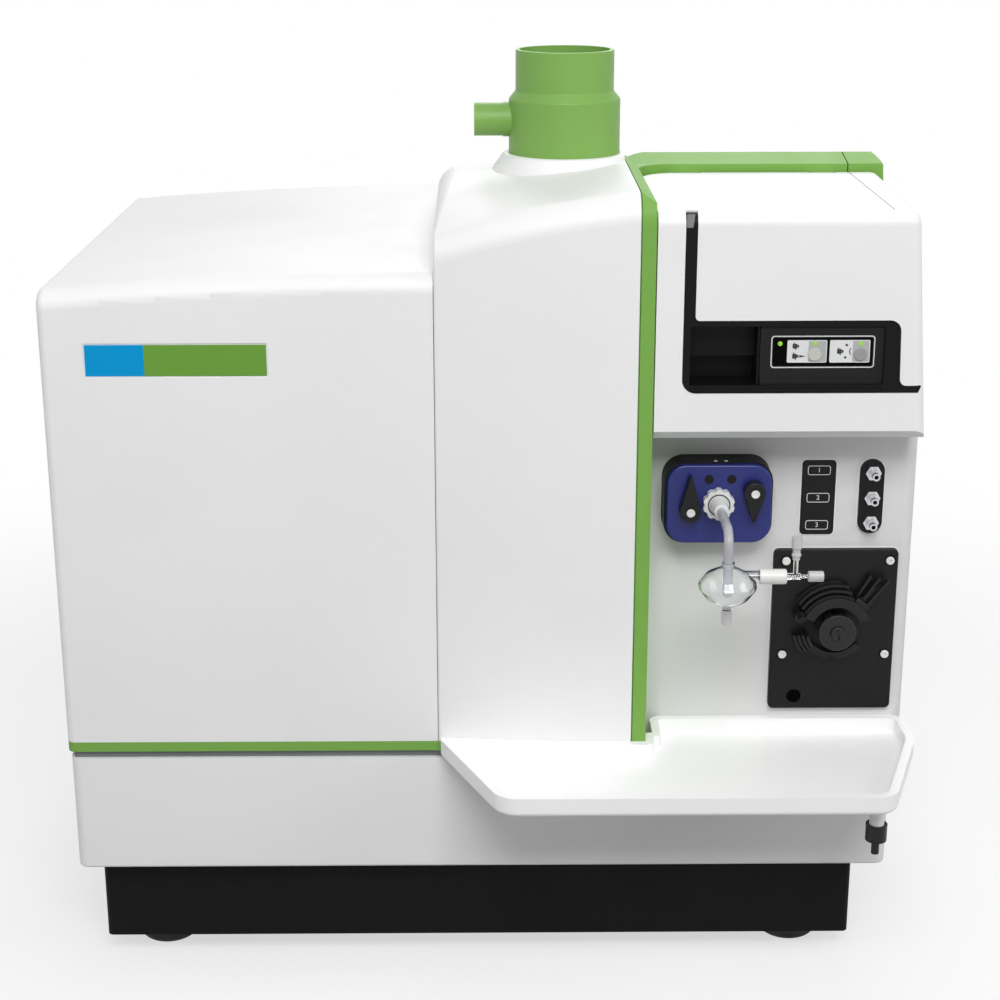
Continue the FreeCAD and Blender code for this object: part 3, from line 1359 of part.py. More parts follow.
def tray_drain_cap():
    x, y = TRAY_DRAIN
    cap = rod(CAP_R, (x, y, STUB_LOW - 9.0), (x, y, STUB_LOW + 7.0))
    cap = cap.cut(rod(DRAIN_STUB_R + 0.05, (x, y, STUB_LOW), (x, y, STUB_LOW + 8.0)))
    barb = rod(CAP_BARB_R, (x, y, STUB_LOW - 23.0), (x, y, STUB_LOW - 8.0))
    return fused([cap, barb]).cut(rod(2.0, (x, y, STUB_LOW - 24.0), (x, y, STUB_LOW + 1.0)))


# Torch cassette on the front panel

def torch_mount_plate():
    points, radius = mount_outline(0)
    y1 = MOUNT_FACE + MOUNT_PLATE_T
    plate = plate_xz(points, radius, MOUNT_FACE, y1)
    front = edges_where(plate, lambda p: near(p.y, MOUNT_FACE))
    plate = plate.makeFillet(2.0, front)
    plate = plate.cut(rod(NUT_R - 4.0, (TORCH_X, MOUNT_FACE - 1, TORCH_Z), (TORCH_X, y1 + 1, TORCH_Z)))
    for x, z, tip in LEVER_PIVOTS:
        plate = plate.cut(rod(LEVER_PIN_R + RUN, (x, MOUNT_FACE - 1, z), (x, y1 + 1, z)))
    for x in PLUG_X:
        plate = plate.cut(rod(PLUG_R, (x, MOUNT_FACE - 1, PLUG_Z), (x, y1 + 1, PLUG_Z)))
    return plate


def torch_mount_body():
    """Black body behind the plate: it passes through the panel and holds the torch's end."""
    points, radius = mount_outline(MOUNT_GROW)
    y0 = MOUNT_FACE + MOUNT_PLATE_T
    body = plate_xz(points, radius, y0, MOUNT_END)
    bore = rod(NUT_BORE, (TORCH_X, y0 - 1, TORCH_Z), (TORCH_X, MOUNT_END + 1, TORCH_Z))
    seat = rod(TUBE_R + 3.0, (TORCH_X, MOUNT_END - 12.0, TORCH_Z), (TORCH_X, MOUNT_END + 1, TORCH_Z))
    plugs = [rod(PLUG_R, (x, MOUNT_FACE - 0.6, PLUG_Z), (x, y0 + 1, PLUG_Z)) for x in PLUG_X]
    body = fused([body.cut(bore).cut(seat)] + plugs)
    for x, z, tip in LEVER_PIVOTS:
        body = body.cut(rod(LEVER_PIN_R + RUN, (x, y0 - 1, z), (x, y0 + 10.0, z)))
    return body


def teardrop(x, z, reach, big, small, y0, y1):
    """Plate round a big circle at (x, z) and a small one at a distance reach above it."""
    length = abs(reach)
    lean = math.asin((big - small) / length)
    way = 1 if reach > 0 else -1
    dx, dz = math.cos(lean), math.sin(lean)
    tip_z = z + reach
    hull = [
        (x - big * dx, z + way * big * dz),
        (x + big * dx, z + way * big * dz),
        (x + small * dx, tip_z + way * small * dz),
        (x - small * dx, tip_z + way * small * dz),
    ]
    blade = plate_xz(hull, 0, y0, y1)
    ends = [rod(big, (x, y0, z), (x, y1, z)), rod(small, (x, y0, tip_z), (x, y1, tip_z))]
    return fused([blade] + ends)


def lock_lever(pivot):
    x, z, reach = pivot
    y1 = MOUNT_FACE - 0.3
    y0 = y1 - LEVER_T
    lever = teardrop(x, z, reach, LEVER_R, LEVER_TIP_R, y0, y1)
    face = edges_where(lever, lambda p: near(p.y, y0))
    lever = lever.makeFillet(1.0, face)
    head = rod(LEVER_HEAD_R, (x, y0 - 1.5, z), (x, y0 + 1.0, z))
    pin = rod(LEVER_PIN_R, (x, y1 - 1.0, z), (x, MOUNT_FACE + MOUNT_PLATE_T + 8.0, z))
    return fused([lever, head, pin])


def injector_nut():
    """Scalloped nut that clamps the injector, with its hub."""
    y1 = MOUNT_FACE
    y0 = y1 - NUT_T
    nut = rod(NUT_R, (TORCH_X, y0, TORCH_Z), (TORCH_X, y1, TORCH_Z))
    for lobe in range(NUT_LOBES):
        angle = 2 * math.pi * lobe / NUT_LOBES
        x = TORCH_X + (NUT_R + 2.2) * math.cos(angle)
        z = TORCH_Z + (NUT_R + 2.2) * math.sin(angle)
        nut = nut.cut(rod(3.6, (x, y0 - 1, z), (x, y1 + 1, z)))
    hub = turned(
        [(0, -HUB_REACH), (HUB_R, -HUB_REACH), (HUB_R + 2.4, 1.0), (0, 1.0)],
        [0, 1.5, 0, 0],
        (TORCH_X, y0, TORCH_Z),
        (0, 1, 0),
    )
    spigot = rod(NUT_BORE - 0.1, (TORCH_X, y1 - 1, TORCH_Z), (TORCH_X, MOUNT_END - 12.0, TORCH_Z))
    whole = fused([nut, hub, spigot])
    socket = rod(ELBOW_R, (TORCH_X, y0 - HUB_REACH - 1, TORCH_Z), (TORCH_X, y0 - HUB_REACH + 12.0, TORCH_Z))
    bore = rod(ELBOW_BORE, (TORCH_X, y0 - HUB_REACH, TORCH_Z), (TORCH_X, MOUNT_END, TORCH_Z))
    return whole.cut(socket).cut(bore)


def torch():
    """Quartz torch: base, outer tube and the injector tube inside it."""
    base = MOUNT_END - 12.0
    reach = TUBE_END - base
    outer = [(0, 0), (TUBE_R + 2.9, 0), (TUBE_R + 2.9, 11.0), (TUBE_R, 14.0), (TUBE_R, reach), (0, reach)]
    inner = [(0, 18.0), (TUBE_R - 1.2, 18.0), (TUBE_R - 1.2, reach + 1), (0, reach + 1)]
    place = (TORCH_X, base, TORCH_Z)
    tube = turned(outer, 0, place, (0, 1, 0)).cut(turned(inner, 0, place, (0, 1, 0)))
    injector = rod(3.0, (TORCH_X, base + 10, TORCH_Z), (TORCH_X, TUBE_END - 25.0, TORCH_Z))
    whole = fused([tube, injector])
    return whole.cut(rod(1.0, (TORCH_X, base - 1, TORCH_Z), (TORCH_X, TUBE_END, TORCH_Z)))


def elbow_path(radius):
    """Bent tube from the injector hub forwards and down into the spray chamber."""
    start = Vector(TORCH_X, MOUNT_FACE - NUT_T - HUB_REACH + 12.0, TORCH_Z)
    corner = Vector(TORCH_X, CHAMBER_Y, TORCH_Z)
    end = Vector(TORCH_X, CHAMBER_Y, ELBOW_END)
    r = ELBOW_BEND
    before = corner + Vector(0, r, 0)
    after = corner - Vector(0, 0, r)
    middle = corner + Vector(0, r * (1 - math.sqrt(0.5)), -r * (1 - math.sqrt(0.5)))
    path = Part.Wire(
        [
            Part.LineSegment(start, before).toShape(),
            Part.Arc(before, middle, after).toShape(),
            Part.LineSegment(after, end).toShape(),
        ]
    )
    ring_wire = Part.Wire(Part.makeCircle(radius, start, Vector(0, 1, 0)))
    return path.makePipeShell([ring_wire], True, True)


def transfer_elbow():
    return elbow_path(ELBOW_R).cut(elbow_path(ELBOW_BORE))


def chamber_profile(wall):
    w = wall
    top = CHAMBER_TOP + (2 if w else 0)
    low = CHAMBER_NECK_LOW - (2 if w else 0)
    return (
        [
            (0, top),
            (ELBOW_R + 0.15 + CHAMBER_WALL - w, top),
            (ELBOW_R + 0.15 + CHAMBER_WALL - w, CHAMBER_TOP - 4.0),
            (19.5 - w * 0.8, CHAMBER_WIDE_Z + 11.0 - w * 0.7),
            (CHAMBER_R - w, CHAMBER_WIDE_Z),
            (19.0 - w * 0.8, CHAMBER_WIDE_Z - 12.0 + w * 0.7),
            (3.4 - w * 0.9, CHAMBER_LOW),
            (3.4 - w * 0.9, low),
            (0, low),
        ],
        [0, 0, 1.5, 12.0, 5.0, 12.0, 1.5, 0, 0],
    )


def spray_chamber():
    base = (TORCH_X, CHAMBER_Y, 0)
    outer = turned(*chamber_profile(0), base, (0, 0, 1))
    arm_start = (TORCH_X + CHAMBER_R - 14.0, CHAMBER_Y, NEB_Z)
    arm_end = (TORCH_X + 30.0, CHAMBER_Y, NEB_Z)
    outer = outer.fuse(rod(5.6, arm_start, arm_end)).removeSplitter()
    inner = turned(*chamber_profile(CHAMBER_WALL), base, (0, 0, 1))
    bore = rod(4.2, (TORCH_X + 8.0, CHAMBER_Y, NEB_Z), (arm_end[0] + 1, CHAMBER_Y, NEB_Z))
    return outer.cut(inner).cut(bore)


def chamber_drain_cap():
    x, y, top = TORCH_X, CHAMBER_Y, CHAMBER_NECK_LOW + 7.0
    cap = turned(
        [(0, -14.0), (4.5, -14.0), (4.7, -1.0), (3.9, 0.0), (0, 0.0)], [0, 1.2, 0, 0, 0], (x, y, top), (0, 0, 1)
    )
    return cap.cut(rod(3.45, (x, y, CHAMBER_NECK_LOW), (x, y, top + 1)))


def nebulizer():
    """Glass nebuliser with its gas side arm."""
    x0 = TORCH_X + 22.0
    body = rod(NEB_R, (x0 + 8.0, CHAMBER_Y, NEB_Z), (TORCH_X + 65.0, CHAMBER_Y, NEB_Z))
    nose = turned(
        [(0, 0), (1.0, 0), (NEB_R, 9.0), (0, 9.0)], 0, (x0, CHAMBER_Y, NEB_Z), (1, 0, 0)
    )
    stem = rod(1.6, (TORCH_X + 64.0, CHAMBER_Y, NEB_Z), (TORCH_X + 76.0, CHAMBER_Y, NEB_Z))
    arm = rod(2.2, (TORCH_X + 60.5, CHAMBER_Y, NEB_Z), (TORCH_X + 60.5, CHAMBER_Y, NEB_Z + 30.0))
    whole = fused([body, nose, stem, arm])
    return whole.cut(rod(0.6, (x0 - 1, CHAMBER_Y, NEB_Z), (TORCH_X + 77.0, CHAMBER_Y, NEB_Z)))


def nebulizer_sleeve():
    """White sleeve that joins the nebuliser to the chamber's side arm."""
    x0, x1 = TORCH_X + 28.0, TORCH_X + 52.5
    sleeve = turned(
        [(0, 0), (6.9, 0), (6.9, x1 - x0), (0, x1 - x0)], [0, 0.8, 1.5, 0], (x0, CHAMBER_Y, NEB_Z), (1, 0, 0)
    )
    arm_bore = rod(5.65, (x0 - 1, CHAMBER_Y, NEB_Z), (TORCH_X + 30.0, CHAMBER_Y, NEB_Z))
    return sleeve.cut(arm_bore).cut(rod(NEB_R + 0.05, (x0, CHAMBER_Y, NEB_Z), (x1 + 1, CHAMBER_Y, NEB_Z)))


def gas_side_fitting():
    """Ringed collar and cap on the nebuliser's side arm."""
    x, z = TORCH_X + 60.5, NEB_Z
    profile = [
        (0, 16.0),
        (3.2, 16.0),
        (3.2, 19.0),
        (4.2, 19.6),
        (4.2, 21.4),
        (3.4, 22.0),
        (3.4, 26.4),
        (4.7, 27.0),
        (4.7, 37.4),
        (0, 37.4),
    ]
    cap = turned(profile, 0, (x, CHAMBER_Y, z), (0, 0, 1))
    return cap.cut(rod(2.25, (x, CHAMBER_Y, z), (x, CHAMBER_Y, z + 30.0)))


def sample_line_fitting():
    x = TORCH_X + 72.0
    profile = [(0, 0), (4.9, 0), (4.9, 13.5), (0, 13.5)]
    cap = turned(profile, [0, 0.8, 0.8, 0], (x, CHAMBER_Y, NEB_Z), (1, 0, 0))
    return cap.cut(rod(1.65, (x - 1, CHAMBER_Y, NEB_Z), (x + 4.0, CHAMBER_Y, NEB_Z)))


# Gas plates

def gas_label_plate():
    return plate_xz(rectangle(*GAS_LABEL_X, *GAS_LABEL_Z), 4.0, FACE_Y - 1.2, FACE_Y)


def gas_port_plate():
    half = (GAS_PORT_X[1] - GAS_PORT_X[0]) / 2
    plate = plate_xz(rectangle(*GAS_PORT_X, *GAS_PORT_Z), half - 0.01, FACE_Y - PLATE_T, FACE_Y)
    x = sum(GAS_PORT_X) / 2
    for z in GAS_Z:
        plate = plate.cut(rod(4.0, (x, FACE_Y - 5, z), (x, FACE_Y + 1, z)))
    return plate


def gas_fitting(z):
    """Bulkhead fitting: hexagon, nut, tube stub and the tail through the panel."""
    x = sum(GAS_PORT_X) / 2
    y0 = FACE_Y - PLATE_T
    corner = GAS_HEX / math.sqrt(3)
    points = [
        (x + corner * math.cos(math.pi * k / 3), z + corner * math.sin(math.pi * k / 3)) for k in range(6)
    ]
    hexagon = plate_xz(points, 0.4, y0 - 6.0, y0)
    stem = rod(4.9, (x, y0 - 11.0, z), (x, y0 - 5.0, z))
    stub = rod(3.6, (x, y0 - 19.0, z), (x, y0 - 10.0, z))
    tail = rod(3.95, (x, y0 - 1.0, z), (x, FACE_Y + WALL + 12.0, z))
    whole = fused([hexagon, stem, stub, tail])
    return whole.cut(rod(2.0, (x, y0 - 20.0, z), (x, FACE_Y + WALL + 13.0, z)))


# Peristaltic pump

def pump_plate():
    y0 = FACE_Y - PUMP_PLATE_T
    plate = plate_xz(rectangle(*PUMP_PLATE_X, *PUMP_PLATE_Z), 5.0, y0, FACE_Y)
    rim = edges_where(plate, lambda p: near(p.y, y0))
    plate = plate.makeFillet(1.0, rim)
    plate = plate.cut(rod(PUMP_SHAFT_R + 0.5, (PUMP_X, y0 - 1, PUMP_Z), (PUMP_X, FACE_Y + 1, PUMP_Z)))
    x, z = DRAIN_HOLE
    plate = plate.cut(rod(DRAIN_HOLE_R, (x, y0 - 1, z), (x, FACE_Y + 1, z)))
    for x, z in PUMP_SCREWS:
        plate = plate.cut(rod(2.0, (x, y0 - 1, z), (x, y0 + 4.0, z)))
    return fused([plate, pump_pin()])


def pump_screw(x, z):
    y0 = FACE_Y - PUMP_PLATE_T
    head = turned([(0, -2.2), (4.0, -2.2), (4.0, 0), (0, 0)], [0, 1.0, 0, 0], (x, y0, z), (0, 1, 0))
    socket = rod(1.6, (x, y0 - 3, z), (x, y0 - 0.8, z))
    return fused([head, rod(2.0, (x, y0 - 0.5, z), (x, y0 + 4.0, z))]).cut(socket)


def sector(inner, outer, low, high, y0, y1):
    """Ring sector about the pump's axis, between two angles in degrees from +X towards +Z."""
    def at(radius, angle):
        a = math.radians(angle)
        return Vector(PUMP_X + radius * math.cos(a), y0, PUMP_Z + radius * math.sin(a))

    middle = (low + high) / 2
    edges = [
        Part.Arc(at(inner, low), at(inner, middle), at(inner, high)).toShape(),
        Part.LineSegment(at(inner, high), at(outer, high)).toShape(),
        Part.Arc(at(outer, high), at(outer, middle), at(outer, low)).toShape(),
        Part.LineSegment(at(outer, low), at(inner, low)).toShape(),
    ]
    return Part.Face(Part.Wire(edges)).extrude(Vector(0, y1 - y0, 0))


def pump_shoe():
    """Fixed lower shoe under the rotor, with tube-stop fins at its left."""
    y1 = FACE_Y - PUMP_PLATE_T
    shoe = sector(SHOE_IN + 3.0, SHOE_OUT, 205, 320, y1 - 8.0, y1)
    fins = []
    for step in range(4):
        inner = SHOE_IN + 3.0 + 4.0 * step
        fins.append(sector(inner, inner + 2.4, 192, 222, y1 - SHOE_T + 3.0 * step, y1))
    web = sector(SHOE_IN + 3.0, SHOE_IN + 17.0, 196, 216, y1 - 5.0, y1)
    notch_x, notch_z = PUMP_X - 2.0, PUMP_Z - SHOE_OUT - 0.5
    notch = rod(4.0, (notch_x, y1 - 20, notch_z), (notch_x, y1 + 1, notch_z))
    return fused([shoe, web] + fins).cut(notch)


CASSETTE_PIVOT = (PUMP_X - 34.0, PUMP_Z + 12.0)
CASSETTE_PIN_R = 2.0


def pump_cassette():
    """Upper clamp that presses the tubes on the rotor, with nested tube tracks."""
    y1 = FACE_Y - PUMP_PLATE_T - 0.5
    y0 = y1 - SHOE_T
    px, pz = CASSETTE_PIVOT
    saddle = sector(SHOE_IN, SHOE_OUT, 20, 157, y0, y1)
    tracks = []
    for step in range(3):
        inner = SHOE_OUT - 0.5 + 4.2 * step
        tracks.append(sector(inner, inner + 2.6, 62 + 6 * step, 150 - 2 * step, y0 + 2.0 + 3.5 * step, y1))
        web = sector(inner, inner + 4.8, 72 + 6 * step, 146, y1 - 4.0, y1)
        tracks.append(web)
    boss = rod(5.5, (px, y0 + 4.0, pz), (px, y1, pz))
    whole = fused([saddle, boss] + tracks)
    return whole.cut(rod(CASSETTE_PIN_R + RUN, (px, y0 - 1, pz), (px, y1 + 1, pz)))


def pump_pin():
    """Pivot pin of the clamp, standing out of the pump's plate."""
    px, pz = CASSETTE_PIVOT
    y1 = FACE_Y - PUMP_PLATE_T
    y0 = y1 - SHOE_T - 1.5
    return fused(
        [
            rod(CASSETTE_PIN_R, (px, y0, pz), (px, y1, pz)),
            rod(CASSETTE_PIN_R + 1.2, (px, y0 - 1.2, pz), (px, y0, pz)),
        ]
    )


def pump_levers():
    """Pressure levers on the clamp's right end, fanned upwards."""
    y1 = FACE_Y - PUMP_PLATE_T - 0.5
    y0 = y1 - SHOE_T
    pieces = []
    root = sector(SHOE_OUT, SHOE_OUT + 5.0, 36, 60, y0 + 2.0, y1)
    pieces.append(root)
    for step, angle in enumerate((40.0, 48.0, 56.0)):
        a = math.radians(angle)
        x0 = PUMP_X + (SHOE_OUT + 2.0) * math.cos(a)
        z0 = PUMP_Z + (SHOE_OUT + 2.0) * math.sin(a)
        lean = math.radians(52.0 + 4.0 * step)
        reach = 34.0 - 4.0 * step
        x1, z1 = x0 + reach * math.cos(lean), z0 + reach * math.sin(lean)
        nx, nz = -math.sin(lean) * 1.3, math.cos(lean) * 1.3
        points = [(x0 - nx, z0 - nz), (x1 - nx, z1 - nz), (x1 + nx, z1 + nz), (x0 + nx, z0 + nz)]
        pieces.append(plate_xz(points, [0, 1.2, 1.2, 0], y0 + 2.0 + 4.5 * step, y0 + 5.5 + 4.5 * step))
    arm = [
        (PUMP_X + SHOE_OUT * 0.62, PUMP_Z + SHOE_OUT * 0.86),
        (PUMP_X + SHOE_OUT * 0.86, PUMP_Z + SHOE_OUT * 0.62),
        (PUMP_X + 49.0, PUMP_Z + 45.0),
        (PUMP_X + 47.0, PUMP_Z + 49.5),
    ]
    pieces.append(plate_xz(arm, [0, 0, 1.8, 1.8], y0 + 7.0, y0 + 11.0))
    body = fused(pieces)
    saddle = sector(SHOE_IN, SHOE_OUT, 10, 160, y0 - 1, y1 + 1)
    tracks = sector(SHOE_OUT, SHOE_OUT + 20.0, 60, 160, y0 - 1, y1 + 1)
    return body.cut(saddle).cut(tracks)


def pump_rotor():
    """Rotor: front disc with a slotted hub, six rollers behind it and a back disc on the shaft."""
    y1 = FACE_Y - PUMP_PLATE_T - 1.0
    y0 = FACE_Y - PUMP_PLATE_T - ROTOR_PROUD
    x, z = PUMP_X, PUMP_Z
    front = turned([(0, 0), (ROTOR_R, 0), (ROTOR_R, 4.0), (0, 4.0)], [0, 1.0, 0, 0], (x, y0, z), (0, 1, 0))
    back = rod(ROTOR_R - 0.5, (x, y1 - 3.0, z), (x, y1, z))
    core = rod(8.0, (x, y0 + 3.0, z), (x, y1 - 2.0, z))
    rollers = []
    for turn in range(6):
        a = math.pi * turn / 3
        rx, rz = x + 13.2 * math.cos(a), z + 13.2 * math.sin(a)
        rollers.append(rod(3.8, (rx, y0 + 3.0, rz), (rx, y1 - 2.0, rz)))
    hub = turned([(0, -3.0), (6.6, -3.0), (7.4, 0.5), (0, 0.5)], [0, 1.0, 0, 0], (x, y0, z), (0, 1, 0))
    shaft = rod(PUMP_SHAFT_R, (x, y1 - 1.0, z), (x, FACE_Y + WALL + 6.0, z))
    slot = box(x - 1.0, x + 1.0, y0 - 4.0, y0 - 1.2, z - 5.5, z + 5.5)
    slot.rotate(Vector(x, 0, z), Vector(0, 1, 0), -12)
    return fused([front, back, core, hub, shaft] + rollers).cut(slot)


def pump_motor():
    half = 28.0
    y0 = FACE_Y + WALL
    body = plate_xz(rectangle(PUMP_X - half, PUMP_X + half, PUMP_Z - half, PUMP_Z + half), 5.0, y0, y0 + 70.0)
    return body.cut(rod(PUMP_SHAFT_R + RUN, (PUMP_X, y0 - 1, PUMP_Z), (PUMP_X, y0 + 8.0, PUMP_Z)))


# Torch bay, interface and vacuum side

def torch_box():
    """Open-topped metal bay behind the front panel, standing on the bench."""
    x0, x1 = BAY_X
    y0, y1 = BAY_Y
    outer = box(x0, x1, y0, y1, BENCH_Z, BAY_TOP)
    inner = box(x0 + 2, x1 - 2, y0 - 1, y1 - 2, BENCH_Z + 2, BAY_TOP + 1)
    bay = outer.cut(inner)
    bay = bay.cut(rod(CONE_R + 2.0, (TORCH_X, y1 - 5, TORCH_Z), (TORCH_X, y1 + 5, TORCH_Z)))
    duct_front = PIPE_Y - PIPE_LOWER_R
    duct = box(x0 - 1, x0 + 3, duct_front, duct_front + 30.0, DUCT_Z[0] + SHEET, DUCT_Z[1] - SHEET)
    return bay.cut(duct)


def load_coil():
    """Water-cooled copper coil round the torch's end, with its two leads."""
    height = COIL_PITCH * COIL_TURNS
    helix = Part.makeHelix(COIL_PITCH, height, COIL_R + COIL_WIRE)
    start = Vector(COIL_R + COIL_WIRE, 0, 0)
    profile = Part.Wire(Part.makeCircle(COIL_WIRE, start, Vector(0, 1, 0)))
    coil = Part.Wire(helix.Edges).makePipeShell([profile], True, True)
    reach = BAY_X[1] - 2.0 - TORCH_X
    leads = [
        rod(COIL_WIRE, (COIL_R + COIL_WIRE, 0, end), (reach, 0, end)) for end in (0.0, height)
    ]
    coil = fused([coil] + leads)
    coil.rotate(Vector(0, 0, 0), Vector(1, 0, 0), -90)
    coil.translate(Vector(TORCH_X, COIL_Y, TORCH_Z))
    return coil


def interface_housing():
    """Cooled block that carries the cones between torch bay and vacuum chamber."""
    y0, y1 = BAY_Y[1], VAC_Y[0]
    block = box(*HOUSING_X, y0, y1, BENCH_Z, VAC_TOP)
    bore = turned(
        [(0, 0), (CONE_R - 2.0, 0), (26.0, 12.0), (26.0, y1 - y0 + 1), (0, y1 - y0 + 1)],
        0,
        (TORCH_X, y0, TORCH_Z),
        (0, 1, 0),
    )
    return block.cut(bore)


def sampler_cone():
    y1 = BAY_Y[1]
    reach = y1 - CONE_TIP
    outer = [(0.6, -reach), (1.2, -reach), (CONE_R - 5.0, -3.0), (CONE_R, -3.0), (CONE_R, 0), (CONE_R - 6.0, 0)]
    return turned(outer, 0, (TORCH_X, y1, TORCH_Z), (0, 1, 0))


def vacuum_chamber():
    x0, x1 = CHAMBER_X
    y0, y1 = VAC_Y
    outer = box(x0, x1, y0, y1, BENCH_Z, VAC_TOP)
    w = VAC_WALL
    inner = box(x0 + w, x1 - w, y0 + w, y1 - w, BENCH_Z + w, VAC_TOP - w)
    entry = rod(20.0, (TORCH_X, y0 - 1, TORCH_Z), (TORCH_X, y0 + w + 1, TORCH_Z))
    port = rod(TURBO_R - 6.0, (TURBO_X, ION_Y, BENCH_Z - 1), (TURBO_X, ION_Y, BENCH_Z + w + 1))
    return outer.cut(inner).cut(entry).cut(port)


def ion_deflector():
    """Four quarter rods on a base that turn the ion beam to the left."""
    floor = BENCH_Z + VAC_WALL
    base = box(TORCH_X - 24, TORCH_X + 24, ION_Y - 24, ION_Y + 24, floor, TORCH_Z - 22)
    rods = [
        rod(7.0, (TORCH_X + dx, ION_Y + dy, TORCH_Z - 23), (TORCH_X + dx, ION_Y + dy, TORCH_Z + 18))
        for dx in (-15.0, 15.0)
        for dy in (-15.0, 15.0)
    ]
    return fused([base] + rods)


def rod_set(x0, x1, rod_r, spread, mounts):
    """Four long rods in two or more ceramic mounts that stand on the chamber's floor."""
    floor = BENCH_Z + VAC_WALL
    rods = [
        rod(rod_r, (x0, ION_Y + dy, TORCH_Z + dz), (x1, ION_Y + dy, TORCH_Z + dz))
        for dy in (-spread, spread)
        for dz in (-spread, spread)
    ]
    plates = []
    for x in mounts:
        plate = box(x, x + 12, ION_Y - 30, ION_Y + 30, floor, TORCH_Z + 30)
        plates.append(plate.cut(rod(spread * 0.5, (x - 1, ION_Y, TORCH_Z), (x + 13, ION_Y, TORCH_Z))))
    return fused(rods + plates)


def reaction_cell():
    x0, x1 = TORCH_X - 172.0, TORCH_X - 52.0
    return rod_set(x0, x1, 6.0, 10.0, (x0 + 4.0, x1 - 16.0))


def quadrupole():
    x0, x1 = CHAMBER_X[0] + 80.0, TORCH_X - 202.0
    return rod_set(x0, x1, 8.0, 11.0, (x0 + 10.0, x1 - 24.0))


def detector():
    floor = BENCH_Z + VAC_WALL
    x0, x1 = CHAMBER_X[0] + 20.0, CHAMBER_X[0] + 64.0
    body = box(x0, x1, ION_Y - 28, ION_Y + 28, floor, TORCH_Z + 34)
    return body.cut(rod(9.0, (x1 - 14.0, ION_Y, TORCH_Z), (x1 + 6.0, ION_Y, TORCH_Z)))


def turbo_pump():
    """Turbomolecular pump hung under the chamber through the bench."""
    top = BENCH_Z
    profile = [
        (0, TURBO_LOW),
        (TURBO_R - 14.0, TURBO_LOW),
        (TURBO_R - 14.0, TURBO_LOW + 40.0),
        (TURBO_R, TURBO_LOW + 46.0),
        (TURBO_R, top - 12.0),
        (TURBO_R + 5.5, top - 12.0),
        (TURBO_R + 5.5, top),
        (TURBO_R - 8.0, top),
        (TURBO_R - 8.0, top - 30.0),
        (0, top - 30.0),
    ]
    body = turned(profile, 0, (TURBO_X, ION_Y, 0), (0, 0, 1))
    outlet = rod(PORT_R - 1.0, (TURBO_X, ION_Y + 20, PORT_Z), (TURBO_X, REAR - 10.0, PORT_Z))
    return fused([body, outlet])


# Electronics

def rf_generator():
    x0, x1 = TOWER_RIGHT + 12.0, TOWER_RIGHT + 125.0
    y0, y1 = FRONT + 275.0, FRONT + 455.0
    z0 = LOWER_TOP + DECK_T
    z1 = BENCH_Z - DECK_T - 6.0
    body = box(x0, x1, y0, y1, z0, z1 - 30.0)
    fins = [box(x0, x1, y, y + 3.0, z1 - 31.0, z1) for y in [y0 + 12.0 * k for k in range(15)]]
    return fused([body] + fins)


def electronics_box(x0, x1, y0, y1, z0, z1):
    """Plain sheet-metal box with a connector strip on its top."""
    body = box(x0, x1, y0, y1, z0, z1)
    strip = box(x0 + 20, x1 - 20, y0 + 15, y0 + 30, z1 - 1, z1 + 6)
    return fused([body, strip])


def build_base():
    save("rubber_feet", *[foot(x, y) for x, y in foot_places()])
    save("base_plinth", base_plinth())
    save("chassis_frame", chassis_frame())
    save("lower_cover", lower_cover())
    save("shadow_rail", shadow_rail())
    save("base_trim", base_trim())


def build_left():
    save("left_cabinet_cover", left_cabinet_cover())
    save("name_badge", name_badge())
    save("tower_cover", tower_cover())
    save("exhaust_pipe", exhaust_pipe())
    save("exhaust_plenum", exhaust_plenum())


def build_right():
    save("accent_band", accent_band())
    save("accent_band_end", accent_band_end())
    save("hood_cover", hood_cover())
    save("hood_end_cap", hood_end_cap())
    save("hood_hinges", *[hood_hinge(x) for x in HINGE_X])
    save("hood_bezel", hood_bezel())
    save("control_panel", control_panel())
    save("start_button", push_button(BUTTON_X[0]))
    save("stop_button", push_button(BUTTON_X[1]))
    save("panel_lamps", *[panel_lamp(x) for x in LAMP_X])
    save("right_body_cover", right_body_cover())
    save("right_rear_cover", right_rear_cover())


def build_rear():
    save("rear_panel", rear_panel())
    save("fan_frame", fan_frame())
    save("fan_rotor", fan_rotor())
    save("power_entry", power_inlet(), switch_frame())
    save("switch_rocker", switch_rocker())


def build_front():
    save("drip_tray", drip_tray())
    save("tray_drain_cap", tray_drain_cap())
    save("torch_mount_plate", torch_mount_plate())
    save("torch_mount_body", torch_mount_body())
    save("lock_lever_left", lock_lever(LEVER_PIVOTS[0]))
    save("lock_lever_right", lock_lever(LEVER_PIVOTS[1]))
    save("injector_nut", injector_nut())
    save("torch", torch())
    save("transfer_elbow", transfer_elbow())
    save("spray_chamber", spray_chamber())
    save("chamber_drain_cap", chamber_drain_cap())
    save("nebulizer", nebulizer())
    save("nebulizer_sleeve", nebulizer_sleeve())
    save("nebulizer_fittings", gas_side_fitting(), sample_line_fitting())
    save("gas_plates", gas_label_plate(), gas_port_plate())
    save("gas_fittings", *[gas_fitting(z) for z in GAS_Z])


def build_pump():
    save("pump_plate", pump_plate())
    save("pump_screws", *[pump_screw(x, z) for x, z in PUMP_SCREWS])
    save("pump_shoe", pump_shoe())
    save("pump_cassette", pump_cassette())
    save("pump_levers", pump_levers())
    save("pump_rotor", pump_rotor())
    save("pump_motor", pump_motor())


